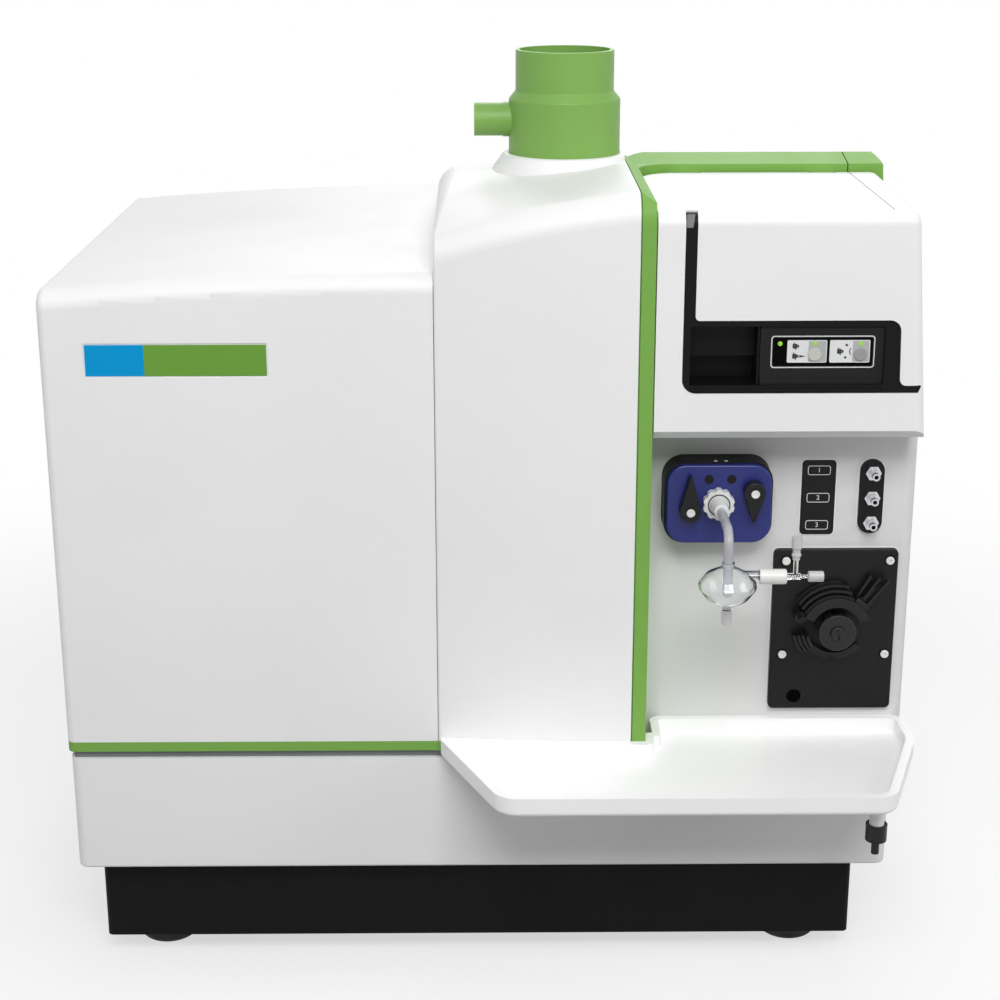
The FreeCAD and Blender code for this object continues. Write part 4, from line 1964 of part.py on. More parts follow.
def build_inside():
    deck = PLINTH_TOP + DECK_T
    upper = LOWER_TOP + DECK_T
    save("torch_box", torch_box())
    save("load_coil", load_coil())
    save("interface_housing", interface_housing())
    save("sampler_cone", sampler_cone())
    save("vacuum_chamber", vacuum_chamber())
    save("ion_optics", ion_deflector(), reaction_cell(), quadrupole(), detector())
    save("turbo_pump", turbo_pump(), vacuum_port())
    save("rf_generator", rf_generator())
    x0 = LEFT + BOARD_INSET
    supply = electronics_box(x0, x0 + SUPPLY_W, FRONT + 80, FRONT + 300, deck, deck + SUPPLY_H)
    control = electronics_box(x0, x0 + CONTROL_W, FRONT + 40, FRONT + 210, upper, upper + CONTROL_H)
    save("electronics_boxes", supply, control)


build_base()
build_left()
build_right()
build_rear()
build_front()
build_pump()
build_inside()
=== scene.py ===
import math

import bpy
from mathutils import Euler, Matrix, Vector


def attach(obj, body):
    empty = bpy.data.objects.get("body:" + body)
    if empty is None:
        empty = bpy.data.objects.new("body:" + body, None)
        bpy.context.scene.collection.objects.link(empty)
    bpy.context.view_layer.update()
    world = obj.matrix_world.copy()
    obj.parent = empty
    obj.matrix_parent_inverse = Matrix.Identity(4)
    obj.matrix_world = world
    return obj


# Looks of the benchtop plasma mass spectrometer. Lengths are in metres, in the row frame.

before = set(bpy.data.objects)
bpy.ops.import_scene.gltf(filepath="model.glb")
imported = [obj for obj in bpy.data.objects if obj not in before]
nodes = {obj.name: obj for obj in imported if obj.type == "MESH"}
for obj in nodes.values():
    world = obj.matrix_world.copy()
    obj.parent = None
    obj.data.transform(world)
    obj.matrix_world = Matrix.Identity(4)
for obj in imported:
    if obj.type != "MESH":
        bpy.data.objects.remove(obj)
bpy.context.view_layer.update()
scene = bpy.context.scene

# Camera, fitted to the photo's parallel edges for a 1000 by 1000 frame
FRONT = -0.215
LENS = 70.2
SENSOR = 36.0
CAMERA_AT = (-0.0038, FRONT - 1.7081, 1.0332)
CAMERA_DOWN = 17.723
CAMERA_RIGHT = 0.437
CAMERA_ROLL = -0.077


def make_camera():
    data = bpy.data.cameras.new("camera")
    data.lens = LENS
    data.sensor_width = SENSOR
    data.sensor_fit = "HORIZONTAL"
    data.clip_start = 0.05
    data.clip_end = 50.0
    camera = bpy.data.objects.new("camera", data)
    scene.collection.objects.link(camera)
    camera.location = CAMERA_AT
    turn = Euler((math.radians(90.0 - CAMERA_DOWN), 0.0, math.radians(-CAMERA_RIGHT)), "XYZ").to_matrix()
    roll = Euler((0.0, 0.0, math.radians(CAMERA_ROLL)), "XYZ").to_matrix()
    camera.rotation_euler = (turn @ roll).to_euler("XYZ")
    scene.camera = camera


# Materials

def linear(srgb):
    """Linear value of an sRGB value from 0 to 255."""
    c = srgb / 255.0
    return c / 12.92 if c <= 0.04045 else ((c + 0.055) / 1.055) ** 2.4


def rgb(r, g, b):
    return (linear(r), linear(g), linear(b), 1.0)


class Finish:
    """One node material: a principled shader, with helpers that add grain and variation."""

    def __init__(self, name, color, roughness=0.5, metallic=0.0):
        self.material = bpy.data.materials.new(name)
        self.material.use_nodes = True
        self.tree = self.material.node_tree
        self.shader = self.tree.nodes["Principled BSDF"]
        self.color = color
        self.set("Base Color", color)
        self.set("Roughness", roughness)
        self.set("Metallic", metallic)

    def set(self, socket, value):
        self.shader.inputs[socket].default_value = value

    def add(self, kind, **values):
        node = self.tree.nodes.new(kind)
        for key, value in values.items():
            setattr(node, key, value)
        return node

    def link(self, out, into):
        self.tree.links.new(out, into)

    def coordinates(self, stretch=(1.0, 1.0, 1.0)):
        source = self.add("ShaderNodeTexCoord")
        mapping = self.add("ShaderNodeMapping")
        mapping.inputs["Scale"].default_value = stretch
        self.link(source.outputs["Object"], mapping.inputs["Vector"])
        return mapping.outputs["Vector"]

    def noise(self, scale, detail=2.0, stretch=(1.0, 1.0, 1.0), rough=0.5):
        node = self.add("ShaderNodeTexNoise")
        node.inputs["Scale"].default_value = scale
        node.inputs["Detail"].default_value = detail
        node.inputs["Roughness"].default_value = rough
        self.link(self.coordinates(stretch), node.inputs["Vector"])
        return node.outputs["Fac"]

    def bump(self, source, strength, distance):
        node = self.add("ShaderNodeBump")
        node.inputs["Strength"].default_value = strength
        node.inputs["Distance"].default_value = distance
        self.link(source, node.inputs["Height"])
        self.link(node.outputs["Normal"], self.shader.inputs["Normal"])

    def ramp(self, source, low, high, start=0.35, end=0.65, constant=False):
        node = self.add("ShaderNodeValToRGB")
        node.color_ramp.interpolation = "CONSTANT" if constant else "LINEAR"
        node.color_ramp.elements[0].position = start
        node.color_ramp.elements[0].color = low
        node.color_ramp.elements[1].position = end
        node.color_ramp.elements[1].color = high
        self.link(source, node.inputs["Fac"])
        return node.outputs["Color"]

    def vary(self, scale, amount, detail=3.0):
        """Slight unevenness of the colour, as moulded and painted pieces have."""
        low = tuple(max(0.0, c * (1.0 - amount)) for c in self.color[:3]) + (1.0,)
        high = tuple(min(1.0, c * (1.0 + amount)) for c in self.color[:3]) + (1.0,)
        self.link(self.ramp(self.noise(scale, detail), low, high), self.shader.inputs["Base Color"])

    def mottle(self, scale, low, high, detail=4.0):
        """Roughness that changes over the surface, as handling leaves it."""
        node = self.add("ShaderNodeMapRange")
        node.inputs["From Min"].default_value = 0.3
        node.inputs["From Max"].default_value = 0.7
        node.inputs["To Min"].default_value = low
        node.inputs["To Max"].default_value = high
        self.link(self.noise(scale, detail), node.inputs["Value"])
        self.link(node.outputs["Result"], self.shader.inputs["Roughness"])


def textured_plastic(name, color, roughness=0.5, grain=0.22, size=900.0, specular=0.5):
    """Moulded plastic with the fine spark-eroded grain of instrument covers."""
    finish = Finish(name, color, roughness)
    finish.set("Specular IOR Level", specular)
    finish.vary(6.0, 0.012)
    finish.mottle(14.0, roughness - 0.05, roughness + 0.06)
    finish.bump(finish.noise(size, 3.0, rough=0.7), grain, 0.00035)
    return finish


def satin_paint(name, color, roughness=0.42):
    """Sprayed paint with a slight orange peel."""
    finish = Finish(name, color, roughness)
    finish.vary(9.0, 0.04)
    finish.mottle(22.0, roughness - 0.06, roughness + 0.08)
    finish.bump(finish.noise(420.0, 2.0), 0.12, 0.0002)
    return finish


def smooth_plastic(name, color, roughness=0.3, specular=0.5):
    """Moulded plastic from a polished tool."""
    finish = Finish(name, color, roughness)
    finish.set("Specular IOR Level", specular)
    finish.vary(30.0, 0.03)
    finish.mottle(60.0, roughness - 0.04, roughness + 0.08)
    finish.bump(finish.noise(160.0, 1.0), 0.04, 0.0002)
    return finish


def metal(name, color, roughness, stretch):
    """Metal with the fine lines that turning or brushing leaves."""
    finish = Finish(name, color, roughness, 1.0)
    finish.vary(25.0, 0.05)
    finish.mottle(80.0, roughness - 0.05, roughness + 0.1)
    finish.bump(finish.noise(300.0, 2.0, stretch), 0.12, 0.0001)
    return finish


def clear_glass(name, tint, roughness=0.03):
    """Blown glass with slight waves."""
    finish = Finish(name, tint, roughness)
    finish.set("Transmission Weight", 1.0)
    finish.set("IOR", 1.47)
    finish.bump(finish.noise(90.0, 1.0), 0.03, 0.0003)
    return finish


def rubber(name, color):
    """Matt rubber with a rough skin."""
    finish = Finish(name, color, 0.75)
    finish.vary(60.0, 0.12)
    finish.mottle(90.0, 0.65, 0.85)
    finish.bump(finish.noise(700.0, 4.0), 0.3, 0.0003)
    return finish


finishes = {
    "white": textured_plastic("white_textured_cover", rgb(240, 240, 240), 0.48),
    # Painted shade: the recessed torch bay panel is the covers' white, greyed here to stand in for the
    # shade in its recess
    "bay": textured_plastic("torch_bay_panel_painted_shade", rgb(222, 222, 222), 0.5),
    # Painted light: the drip tray is the covers' white, made whiter here to stand in for the light falling
    # on it from above
    "tray": textured_plastic("drip_tray_painted_light", rgb(250, 250, 250), 0.34, 0.1, 900.0),
    # Painted highlight: a bright white for the thin rims that stand in for light caught on the plates'
    # edges
    "rim": smooth_plastic("rim_painted_highlight", rgb(246, 246, 246), 0.3),
    "insert": smooth_plastic("slot_insert_grey", rgb(128, 128, 130), 0.35),
    "lower": textured_plastic("lower_painted_steel", rgb(238, 238, 238), 0.45, 0.16, 1200.0),
    "green": textured_plastic("green_moulded_trim", rgb(124, 173, 82), 0.46, 0.12, 1100.0, 0.14),
    "duct": satin_paint("green_duct_paint", rgb(120, 166, 76), 0.45),
    "base": textured_plastic("black_base_paint", rgb(13, 13, 14), 0.6, 0.2, 800.0, 0.12),
    "rubber": rubber("foot_rubber", rgb(22, 22, 22)),
    "rail": satin_paint("grey_rail_paint", rgb(112, 114, 118)),
    "bezel": textured_plastic("bezel_black_plastic", rgb(12, 12, 13), 0.45, 0.2, 1000.0, 0.14),
    "panel": textured_plastic("panel_charcoal_plastic", rgb(22, 22, 23), 0.48, 0.2, 1100.0, 0.18),
    "key_light": smooth_plastic("key_light_grey", rgb(196, 196, 190), 0.35),
    "key_dark": smooth_plastic("key_mid_grey", rgb(150, 150, 150), 0.35),
    "blue": satin_paint("torch_mount_blue", rgb(24, 35, 111), 0.36),
    "black": textured_plastic("mount_black_plastic", rgb(16, 16, 17), 0.45, 0.2, 1000.0, 0.2),
    "lever": smooth_plastic("lever_black_polymer", rgb(14, 14, 15), 0.34, 0.3),
    "pump": textured_plastic("pump_black_polymer", rgb(18, 18, 19), 0.42, 0.15, 1000.0, 0.22),
    "clamp": smooth_plastic("pump_clamp_polymer", rgb(22, 22, 23), 0.36, 0.3),
    "rotor": smooth_plastic("pump_rotor_polymer", rgb(26, 26, 27), 0.34, 0.35),
    "nut": smooth_plastic("injector_nut_polymer", rgb(222, 222, 222), 0.28),
    "polymer": smooth_plastic("white_fluoropolymer", rgb(232, 232, 230), 0.3),
    "glass": clear_glass("spray_chamber_glass", (0.97, 0.98, 0.985, 1.0)),
    "quartz": clear_glass("torch_quartz", (0.98, 0.985, 0.99, 1.0), 0.02),
    "steel": metal("brushed_steel_sheet", rgb(180, 181, 184), 0.34, (1.0, 1.0, 14.0)),
    "fitting": metal("turned_fitting_steel", rgb(205, 205, 208), 0.2, (1.0, 12.0, 1.0)),
    "aluminium": metal("machined_aluminium", rgb(200, 201, 204), 0.38, (9.0, 1.0, 1.0)),
    "copper": metal("coil_copper", rgb(214, 140, 98), 0.24, (1.0, 8.0, 1.0)),
    "frame": satin_paint("zinc_plated_frame", rgb(160, 162, 165), 0.4),
    "fan": smooth_plastic("fan_black_plastic", rgb(28, 28, 29), 0.45),
    "silver": smooth_plastic("panel_outline_white", rgb(214, 214, 214), 0.4),
    "print_white": smooth_plastic("printed_white", rgb(225, 226, 226), 0.5),
    "print_grey": smooth_plastic("printed_grey", rgb(176, 176, 176), 0.5),
    "tube": smooth_plastic("transfer_tube_polymer", rgb(176, 176, 182), 0.24),
    "soft_grey": smooth_plastic("light_grey_polymer", rgb(196, 196, 196), 0.34),
    "print_dark": smooth_plastic("printed_dark", rgb(40, 40, 42), 0.5),
    "deep": smooth_plastic("deep_shadow_black", rgb(4, 4, 4), 0.7, 0.04),
}


LENS_GREEN = rgb(140, 200, 60)
BADGE_X = (-0.3635, -0.2005)
BADGE_BLUE_SHARE = 0.324
BADGE_BLUE = rgb(0, 152, 214)
BADGE_GREEN = rgb(107, 158, 62)


def lamp_lens():
    """Small green lens that glows faintly."""
    finish = smooth_plastic("green_lamp_lens", LENS_GREEN, 0.2)
    finish.set("Emission Color", LENS_GREEN)
    finish.set("Emission Strength", 0.25)
    return finish


def badge_fields():
    """Plain blue field at the left of the badge, plain green field at its right."""
    finish = Finish("badge_two_fields", BADGE_GREEN, 0.4)
    finish.set("Specular IOR Level", 0.16)
    source = finish.add("ShaderNodeTexCoord")
    split = finish.add("ShaderNodeSeparateXYZ")
    finish.link(source.outputs["Object"], split.inputs["Vector"])
    spread = finish.add("ShaderNodeMapRange")
    spread.inputs["From Min"].default_value = BADGE_X[0]
    spread.inputs["From Max"].default_value = BADGE_X[1]
    finish.link(split.outputs["X"], spread.inputs["Value"])
    share = spread.outputs["Result"]
    fields = finish.ramp(share, BADGE_BLUE, BADGE_GREEN, 0.0, BADGE_BLUE_SHARE, constant=True)
    finish.link(fields, finish.shader.inputs["Base Color"])
    finish.mottle(40.0, 0.28, 0.4)
    finish.bump(finish.noise(300.0, 1.0), 0.05, 0.0001)
    return finish


finishes["lamp"] = lamp_lens()
finishes["badge"] = badge_fields()

NODE_FINISH = {
    "rubber_feet": "rubber",
    "base_plinth": "base",
    "chassis_frame": "frame",
    "lower_cover": "lower",
    "shadow_rail": "rail",
    "base_trim": "green",
    "left_cabinet_cover": "white",
    "name_badge": "badge",
    "tower_cover": "white",
    "exhaust_pipe": "duct",
    "exhaust_plenum": "steel",
    "accent_band": "green",
    "accent_band_end": "green",
    "hood_end_cap": "white",
    "hood_hinges": "steel",
    "right_body_cover": "bay",
    "right_rear_cover": "white",
    "rear_panel": "lower",
    "fan_frame": "fan",
    "power_entry": "fan",
    "drip_tray": "tray",
    "tray_drain_cap": "lever",
    "gas_plates": "black",
    "gas_fittings": "fitting",
    "pump_plate": "pump",
    "pump_screws": "polymer",
    "pump_shoe": "clamp",
    "pump_motor": "pump",
    "torch_box": "steel",
    "load_coil": "copper",
    "interface_housing": "aluminium",
    "sampler_cone": "fitting",
    "vacuum_chamber": "aluminium",
    "ion_optics": "steel",
    "turbo_pump": "steel",
    "rf_generator": "aluminium",
    "electronics_boxes": "frame",
    "hood_cover": "white",
    "hood_bezel": "bezel",
    "control_panel": "panel",
    "panel_lamps": "lamp",
    "start_button": "key_light",
    "stop_button": "key_dark",
    "torch_mount_plate": "blue",
    "torch_mount_body": "black",
    "injector_nut": "nut",
    "torch": "quartz",
    "transfer_elbow": "tube",
    "spray_chamber": "glass",
    "chamber_drain_cap": "soft_grey",
    "nebulizer": "glass",
    "nebulizer_sleeve": "polymer",
    "nebulizer_fittings": "soft_grey",
    "lock_lever_left": "lever",
    "lock_lever_right": "lever",
    "pump_rotor": "rotor",
    "pump_cassette": "clamp",
    "pump_levers": "clamp",
    "fan_rotor": "fan",
    "switch_rocker": "lever",
}


def dress_nodes():
    for name, finish in NODE_FINISH.items():
        slots = nodes[name].data.materials
        if len(slots) == 0:
            slots.append(finishes[finish].material)
        for index in range(len(slots)):
            slots[index] = finishes[finish].material


# Pieces that the scene adds

def mesh_piece(name, vertices, faces, finish, body):
    mesh = bpy.data.meshes.new(name)
    mesh.from_pydata(vertices, [], faces)
    mesh.update()
    piece = bpy.data.objects.new(name, mesh)
    scene.collection.objects.link(piece)
    mesh.materials.append(finishes[finish].material)
    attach(piece, body)
    return piece


def soften(piece, width):
    bevel = piece.modifiers.new("soft_edges", "BEVEL")
    bevel.width = width
    bevel.segments = 2
    bevel.limit_method = "ANGLE"
    bevel.angle_limit = math.radians(35.0)


def rounded(x0, x1, z0, z1, radius, steps=6):
    """Points of a rounded rectangle in X and Z."""
    points = []
    corners = ((x1 - radius, z1 - radius, 0), (x0 + radius, z1 - radius, 90))
    corners += ((x0 + radius, z0 + radius, 180), (x1 - radius, z0 + radius, 270))
    for cx, cz, start in corners:
        for step in range(steps + 1):
            angle = math.radians(start + 90.0 * step / steps)
            points.append((cx + radius * math.cos(angle), cz + radius * math.sin(angle)))
    return points


def front_plate(name, points, y_front, thickness, finish, body):
    """Flat plate that faces the front, from an outline in X and Z."""
    count = len(points)
    vertices = [(x, y_front, z) for x, z in points] + [(x, y_front + thickness, z) for x, z in points]
    faces = [tuple(range(count)), tuple(range(2 * count - 1, count - 1, -1))]
    faces += [(i, i + count, (i + 1) % count + count, (i + 1) % count) for i in range(count)]
    return mesh_piece(name, vertices, faces, finish, body)


def front_ring(name, outer, inner, y_front, thickness, finish, body):
    """Frame between two outlines with the same number of points."""
    count = len(outer)
    loops = [(outer, y_front), (inner, y_front), (inner, y_front + thickness), (outer, y_front + thickness)]
    vertices = [(x, y, z) for points, y in loops for x, z in points]
    faces = []
    for loop in range(4):
        following = (loop + 1) % 4
        for i in range(count):
            j = (i + 1) % count
            faces.append(
                (loop * count + i, following * count + i, following * count + j, loop * count + j)
            )
    return mesh_piece(name, vertices, faces, finish, body)


def side_plate(name, outline, x, half, finish, body):
    """Flat piece of even thickness, from an outline in Y and Z, in the middle of X."""
    count = len(outline)
    vertices = [(x - half, y, z) for y, z in outline] + [(x + half, y, z) for y, z in outline]
    faces = [tuple(range(count)), tuple(range(2 * count - 1, count - 1, -1))]
    for index in range(count):
        following = (index + 1) % count
        faces.append((following, index, index + count, following + count))
    mesh_piece(name, vertices, faces, finish, body)


def disc(cx, cz, radius, steps=32):
    return [
        (cx + radius * math.cos(2 * math.pi * k / steps), cz + radius * math.sin(2 * math.pi * k / steps))
        for k in range(steps)
    ]


def turned_piece(name, profile, centre, finish, body, steps=40):
    """Piece revolved about Y: each profile point is (radius, distance along the axis)."""
    cx, cy, cz = centre
    vertices = []
    for radius, along in profile:
        for step in range(steps):
            a = 2 * math.pi * step / steps
            vertices.append((cx + radius * math.cos(a), cy + along, cz + radius * math.sin(a)))
    faces = []
    for row in range(len(profile) - 1):
        for step in range(steps):
            following = (step + 1) % steps
            a, b = row * steps + step, row * steps + following
            faces.append((a, b, b + steps, a + steps))
    faces.append(tuple(range(steps)))
    last = (len(profile) - 1) * steps
    faces.append(tuple(range(last + steps - 1, last - 1, -1)))
    piece = mesh_piece(name, vertices, faces, finish, body)
    piece.data.shade_smooth()
    edges = piece.modifiers.new("sharp_rims", "EDGE_SPLIT")
    edges.split_angle = math.radians(32.0)


# Printed and inlaid details of the control panel, with edges as left, right, low and high
HOOD_FRONT = FRONT - 0.013
PANEL_FACE = HOOD_FRONT + 0.004
LABEL_FACE = PANEL_FACE - 0.0006
INLAY = 0.0002
PANEL_OUTLINE = (0.2515, 0.3445, 0.6135, 0.643)
OUTLINE_WIDTH = 0.001
KEY_PLATES = (("left", 0.2660, 0.3015), ("right", 0.3040, 0.3400))
KEY_PLATE_Z = (0.6185, 0.639)
KEY_FIELDS = (
    ("left_sign", 0.2682, 0.2840, "print_white"),
    ("left_key", 0.2850, 0.3008, "print_grey"),
    ("right_sign", 0.3088, 0.3238, "print_white"),
    ("right_key", 0.3246, 0.3392, "print_grey"),
)
KEY_FIELD_Z = (0.6192, 0.6383)


def inset(edges, by):
    x0, x1, z0, z1 = edges
    return x0 + by, x1 - by, z0 + by, z1 - by


def control_details():
    """White line round the keys, the dark field inside it, and a light plate under each key."""
    outer = rounded(*PANEL_OUTLINE, 0.003)
    inner = rounded(*inset(PANEL_OUTLINE, OUTLINE_WIDTH), 0.0022)
    front_ring("panel_outline", outer, inner, PANEL_FACE - 0.0004, 0.0005, "silver", "hood")
    field = rounded(*inset(PANEL_OUTLINE, 2 * OUTLINE_WIDTH), 0.0018)
    front_plate("panel_field", field, PANEL_FACE - INLAY, 0.0003, "deep", "hood")
    for name, x0, x1 in KEY_PLATES:
        plate = rounded(x0, x1, *KEY_PLATE_Z, 0.0012)
        front_plate("key_plate_" + name, plate, LABEL_FACE - INLAY, 0.0003, "print_white", "hood")


# Icons are made-up signs: a burner, a burner with its flame, and a turning roller
ICON_FACE = LABEL_FACE - 0.0004
BURNER_OFF = (0.2706, 0.6336)
BURNER_ON = (0.2706, 0.6244)
FLAME = [(0.2770, 0.6232), (0.2826, 0.6244), (0.2770, 0.6256)]
ROLLER = (0.3106, 0.6288)
ROLLER_MARKS = (("up", 0.3190, 0.6345), ("down", 0.3182, 0.6232))
ROLLER_MARK_SIZE = 0.0014
ARC_CENTRE = (0.3256, 0.6288)
ARC_OUTER = 0.0042
ARC_INNER = 0.0034


def sign(name, points):
    front_plate(name, points, ICON_FACE, INLAY, "print_dark", "hood")


def burner(name, x, z):
    """Small burner seen from its side: body, neck and two pipes."""
    sign(name + "_body", rounded(x, x + 0.0042, z - 0.0022, z + 0.0022, 0.0008, 3))
    sign(name + "_neck", rounded(x + 0.0043, x + 0.0058, z - 0.0012, z + 0.0012, 0.0003, 3))
    sign(name + "_pipe_up", rounded(x + 0.0008, x + 0.0018, z + 0.0023, z + 0.0034, 0.0002, 3))
    sign(name + "_pipe_down", rounded(x + 0.0024, x + 0.0034, z - 0.0034, z - 0.0023, 0.0002, 3))


def diamond(name, x, z, size):
    sign(name, [(x + size, z), (x, z + size), (x - size, z), (x, z - size)])


def arc(radius, steps=8):
    """Points of the roller sign's arc, from 130 to 230 degrees."""
    angles = [math.radians(130.0 + 100.0 * step / steps) for step in range(steps + 1)]
    cx, cz = ARC_CENTRE
    return [(cx + radius * math.cos(a), cz + radius * math.sin(a)) for a in angles]


def key_details():
    """White sign fields and grey key fields on the two plates."""
    for name, x0, x1, shade in KEY_FIELDS:
        field = rounded(x0, x1, *KEY_FIELD_Z, 0.0010)
        front_plate(name + "_field", field, LABEL_FACE - 0.00025, INLAY, shade, "hood")
    burner("sign_burner_off", *BURNER_OFF)
    burner("sign_burner_on", *BURNER_ON)
    sign("sign_flame", FLAME)
    burner("sign_roller_body", *ROLLER)
    for name, x, z in ROLLER_MARKS:
        diamond("sign_roller_" + name, x, z, ROLLER_MARK_SIZE)
    sign("sign_roller_arc", arc(ARC_OUTER) + arc(ARC_INNER)[::-1])


# Labels of the three gas lines, numbered from the top
FACE_Y = FRONT + 0.0463
GAS_LABEL_FACE = FACE_Y - 0.0012
GAS_X = 0.31
PILLS = (("1", 0.50105), ("2", 0.47405), ("3", 0.4470))
PILL_HALF_X = 0.0107
PILL_HALF_Z = 0.0046
PILL_LINE = 0.0006
DIGIT_SIZE = 0.0065


def gas_number(number, z):
    """Flat printed digit, made from a font curve that is then removed."""
    curve = bpy.data.curves.new("gas_number_" + number, "FONT")
    curve.body = number
    curve.size = DIGIT_SIZE
    curve.align_x = "CENTER"
    curve.align_y = "CENTER"
    curve.extrude = 0.0001
    flat = bpy.data.objects.new("gas_number_source", curve)
    scene.collection.objects.link(flat)
    bpy.context.view_layer.update()
    mesh = bpy.data.meshes.new_from_object(flat.evaluated_get(bpy.context.evaluated_depsgraph_get()))
    bpy.data.objects.remove(flat)
    digit = bpy.data.objects.new("gas_number_" + number, mesh)
    scene.collection.objects.link(digit)
    mesh.materials.clear()
    mesh.materials.append(finishes["print_white"].material)
    digit.rotation_euler = (math.radians(90.0), 0.0, 0.0)
    digit.location = (GAS_X, GAS_LABEL_FACE - INLAY, z)
    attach(digit, "instrument")


def gas_labels():
    for number, z in PILLS:
        edges = (GAS_X - PILL_HALF_X, GAS_X + PILL_HALF_X, z - PILL_HALF_Z, z + PILL_HALF_Z)
        outer = rounded(*edges, 0.0022)
        inner = rounded(*inset(edges, PILL_LINE), 0.0017)
        face = GAS_LABEL_FACE - INLAY
        front_ring("gas_pill_" + number, outer, inner, face, 0.0003, "print_white", "instrument")
        gas_number(number, z)


# Painted highlight as light rims round the black plates of the torch bay: left, right, low and high edge,
# and corner radius
RIM_WIDTH = 0.0011
RIM_PROUD = 0.0005
RIM_CLEARANCE = 0.0001
PLATES = {
    "gas_labels": (0.294, 0.326, 0.4376, 0.511, 0.004),
    "gas_ports": (0.3485, 0.3715, 0.439, 0.512, 0.0115),
    "pump": (0.2703, 0.389, 0.26, 0.4235, 0.005),
}
DRAIN_HOLE = (0.295, 0.273)
DRAIN_HOLE_R = 0.0069
DRAIN_DEPTH = 0.0025


def plate_highlights_and_hole_shade():
    """Painted highlight as a light rim round each plate, and painted shade as a dark disc at the bottom of
    the pump plate's drain hole.
    """
    for name, (*edges, radius) in PLATES.items():
        outer = rounded(*inset(edges, -RIM_WIDTH), radius + RIM_WIDTH)
        inner = rounded(*inset(edges, -RIM_CLEARANCE), radius)
        front_ring("rim_" + name, outer, inner, FACE_Y - RIM_PROUD, RIM_PROUD + 0.0002, "rim", "instrument")
    # Painted shade: a near-black disc inside the drain hole darkens it
    hole = disc(*DRAIN_HOLE, DRAIN_HOLE_R)
    front_plate("drain_hole_painted_shade", hole, FACE_Y - DRAIN_DEPTH, 0.001, "deep", "instrument")


# Lugs on the torch mount, and a painted shadow ring on the injector nut
MOUNT_MARKS = (0.2095, 0.2193)
MOUNT_TOP = 0.5165
LUG_HALF = 0.0015
LUG_FRONT = FRONT + 0.0232
TORCH = (0.212, 0.479)
NUT_FRONT = FRONT + 0.007
SHADOW_RING_OUTER = 0.0106
SHADOW_RING_INNER = 0.0094


def mount_marks():
    """Two small light lugs on top of the torch mount's black body."""
    for index, x in enumerate(MOUNT_MARKS):
        lug = rounded(x - LUG_HALF, x + LUG_HALF, MOUNT_TOP - 0.0003, MOUNT_TOP + 0.0007, 0.0004, 3)
        name = "mount_lug_%d" % index
        soften(front_plate(name, lug, LUG_FRONT, 0.0026, "soft_grey", "torch_cassette"), 0.0002)


def nut_shadow_ring():
    """Painted shadow: a dark ring on the injector nut, round the foot of its hub."""
    outer, inner = disc(*TORCH, SHADOW_RING_OUTER), disc(*TORCH, SHADOW_RING_INNER)
    front_ring("nut_shadow_ring", outer, inner, NUT_FRONT - 0.0001, 0.0002, "print_dark", "torch_cassette")


# Grey insert at the top of the bezel's slot
SLOT_INSERT = [(0.1731, 0.7405), (0.1787, 0.7405), (0.1801, 0.7520), (0.1731, 0.7520)]


def slot_insert():
    front_plate("slot_insert", SLOT_INSERT, HOOD_FRONT + 0.0009, 0.0008, "insert", "hood")


# Painted shadow in the seam beside the end cap and in the seam of the cross bar: thin near-black sheets, as
# outlines in Y and Z
SEAM_X = 0.357
CAP_SEAM_SHADOW = [(-0.2145, 0.7512), (-0.2145, 0.75395), (0.0135, 0.75395), (0.0135, 0.7512)]
CAP_SEAM_SHADOW_HALF = 0.00036
BAR_SEAM_SHADOW = [(0.0201, 0.7390), (0.0201, 0.7616), (0.0564, 0.76845), (0.0592, 0.7676)]
BAR_SEAM_SHADOW += [(0.0601, 0.7654), (0.0601, 0.7390)]
BAR_SEAM_SHADOW_HALF = 0.00045


def seam_shadows():
    side_plate("cap_seam_shadow", CAP_SEAM_SHADOW, SEAM_X, CAP_SEAM_SHADOW_HALF, "deep", "instrument")
    side_plate("bar_seam_shadow", BAR_SEAM_SHADOW, SEAM_X, BAR_SEAM_SHADOW_HALF, "deep", "instrument")


# Screws of the lock levers, and painted shade as dark rings round the pump plate's screws
LEVER_SCREWS = (("left", 0.1855, 0.473), ("right", 0.2447, 0.491))
LEVER_FRONT = FRONT + 0.0037
SCREW_PROUD = 0.0015
SCREW_R = 0.0039
PUMP_SCREWS = ((0.282, 0.4125), (0.381, 0.4125), (0.282, 0.317), (0.381, 0.317))
PUMP_FACE = FACE_Y - 0.006
SCREW_SHADE_OUTER = 0.0054
SCREW_SHADE_INNER = 0.0040


def screw_face(name, x, y, z, radius, body):
    """Domed screw head with a raised ring and a round recess."""
    profile = [(radius, 0.0), (radius, -0.0007), (radius * 0.9, -0.0011), (radius * 0.62, -0.0012)]
    profile += [(radius * 0.55, -0.0009), (radius * 0.42, -0.0009), (radius * 0.38, -0.0002)]
    turned_piece(name, profile, (x, y, z), "polymer", body)


def screw_details():
    for side, x, z in LEVER_SCREWS:
        screw_face("lever_screw_" + side, x, LEVER_FRONT - SCREW_PROUD, z, SCREW_R, side + "_lever")
    for index, (x, z) in enumerate(PUMP_SCREWS):
        # Painted shade: a flat near-black ring round each of the pump plate's screws
        outer, inner = disc(x, z, SCREW_SHADE_OUTER), disc(x, z, SCREW_SHADE_INNER)
        name = "pump_screw_well_%d" % index
        front_ring(name, outer, inner, PUMP_FACE - 0.0001, 0.0002, "deep", "instrument")


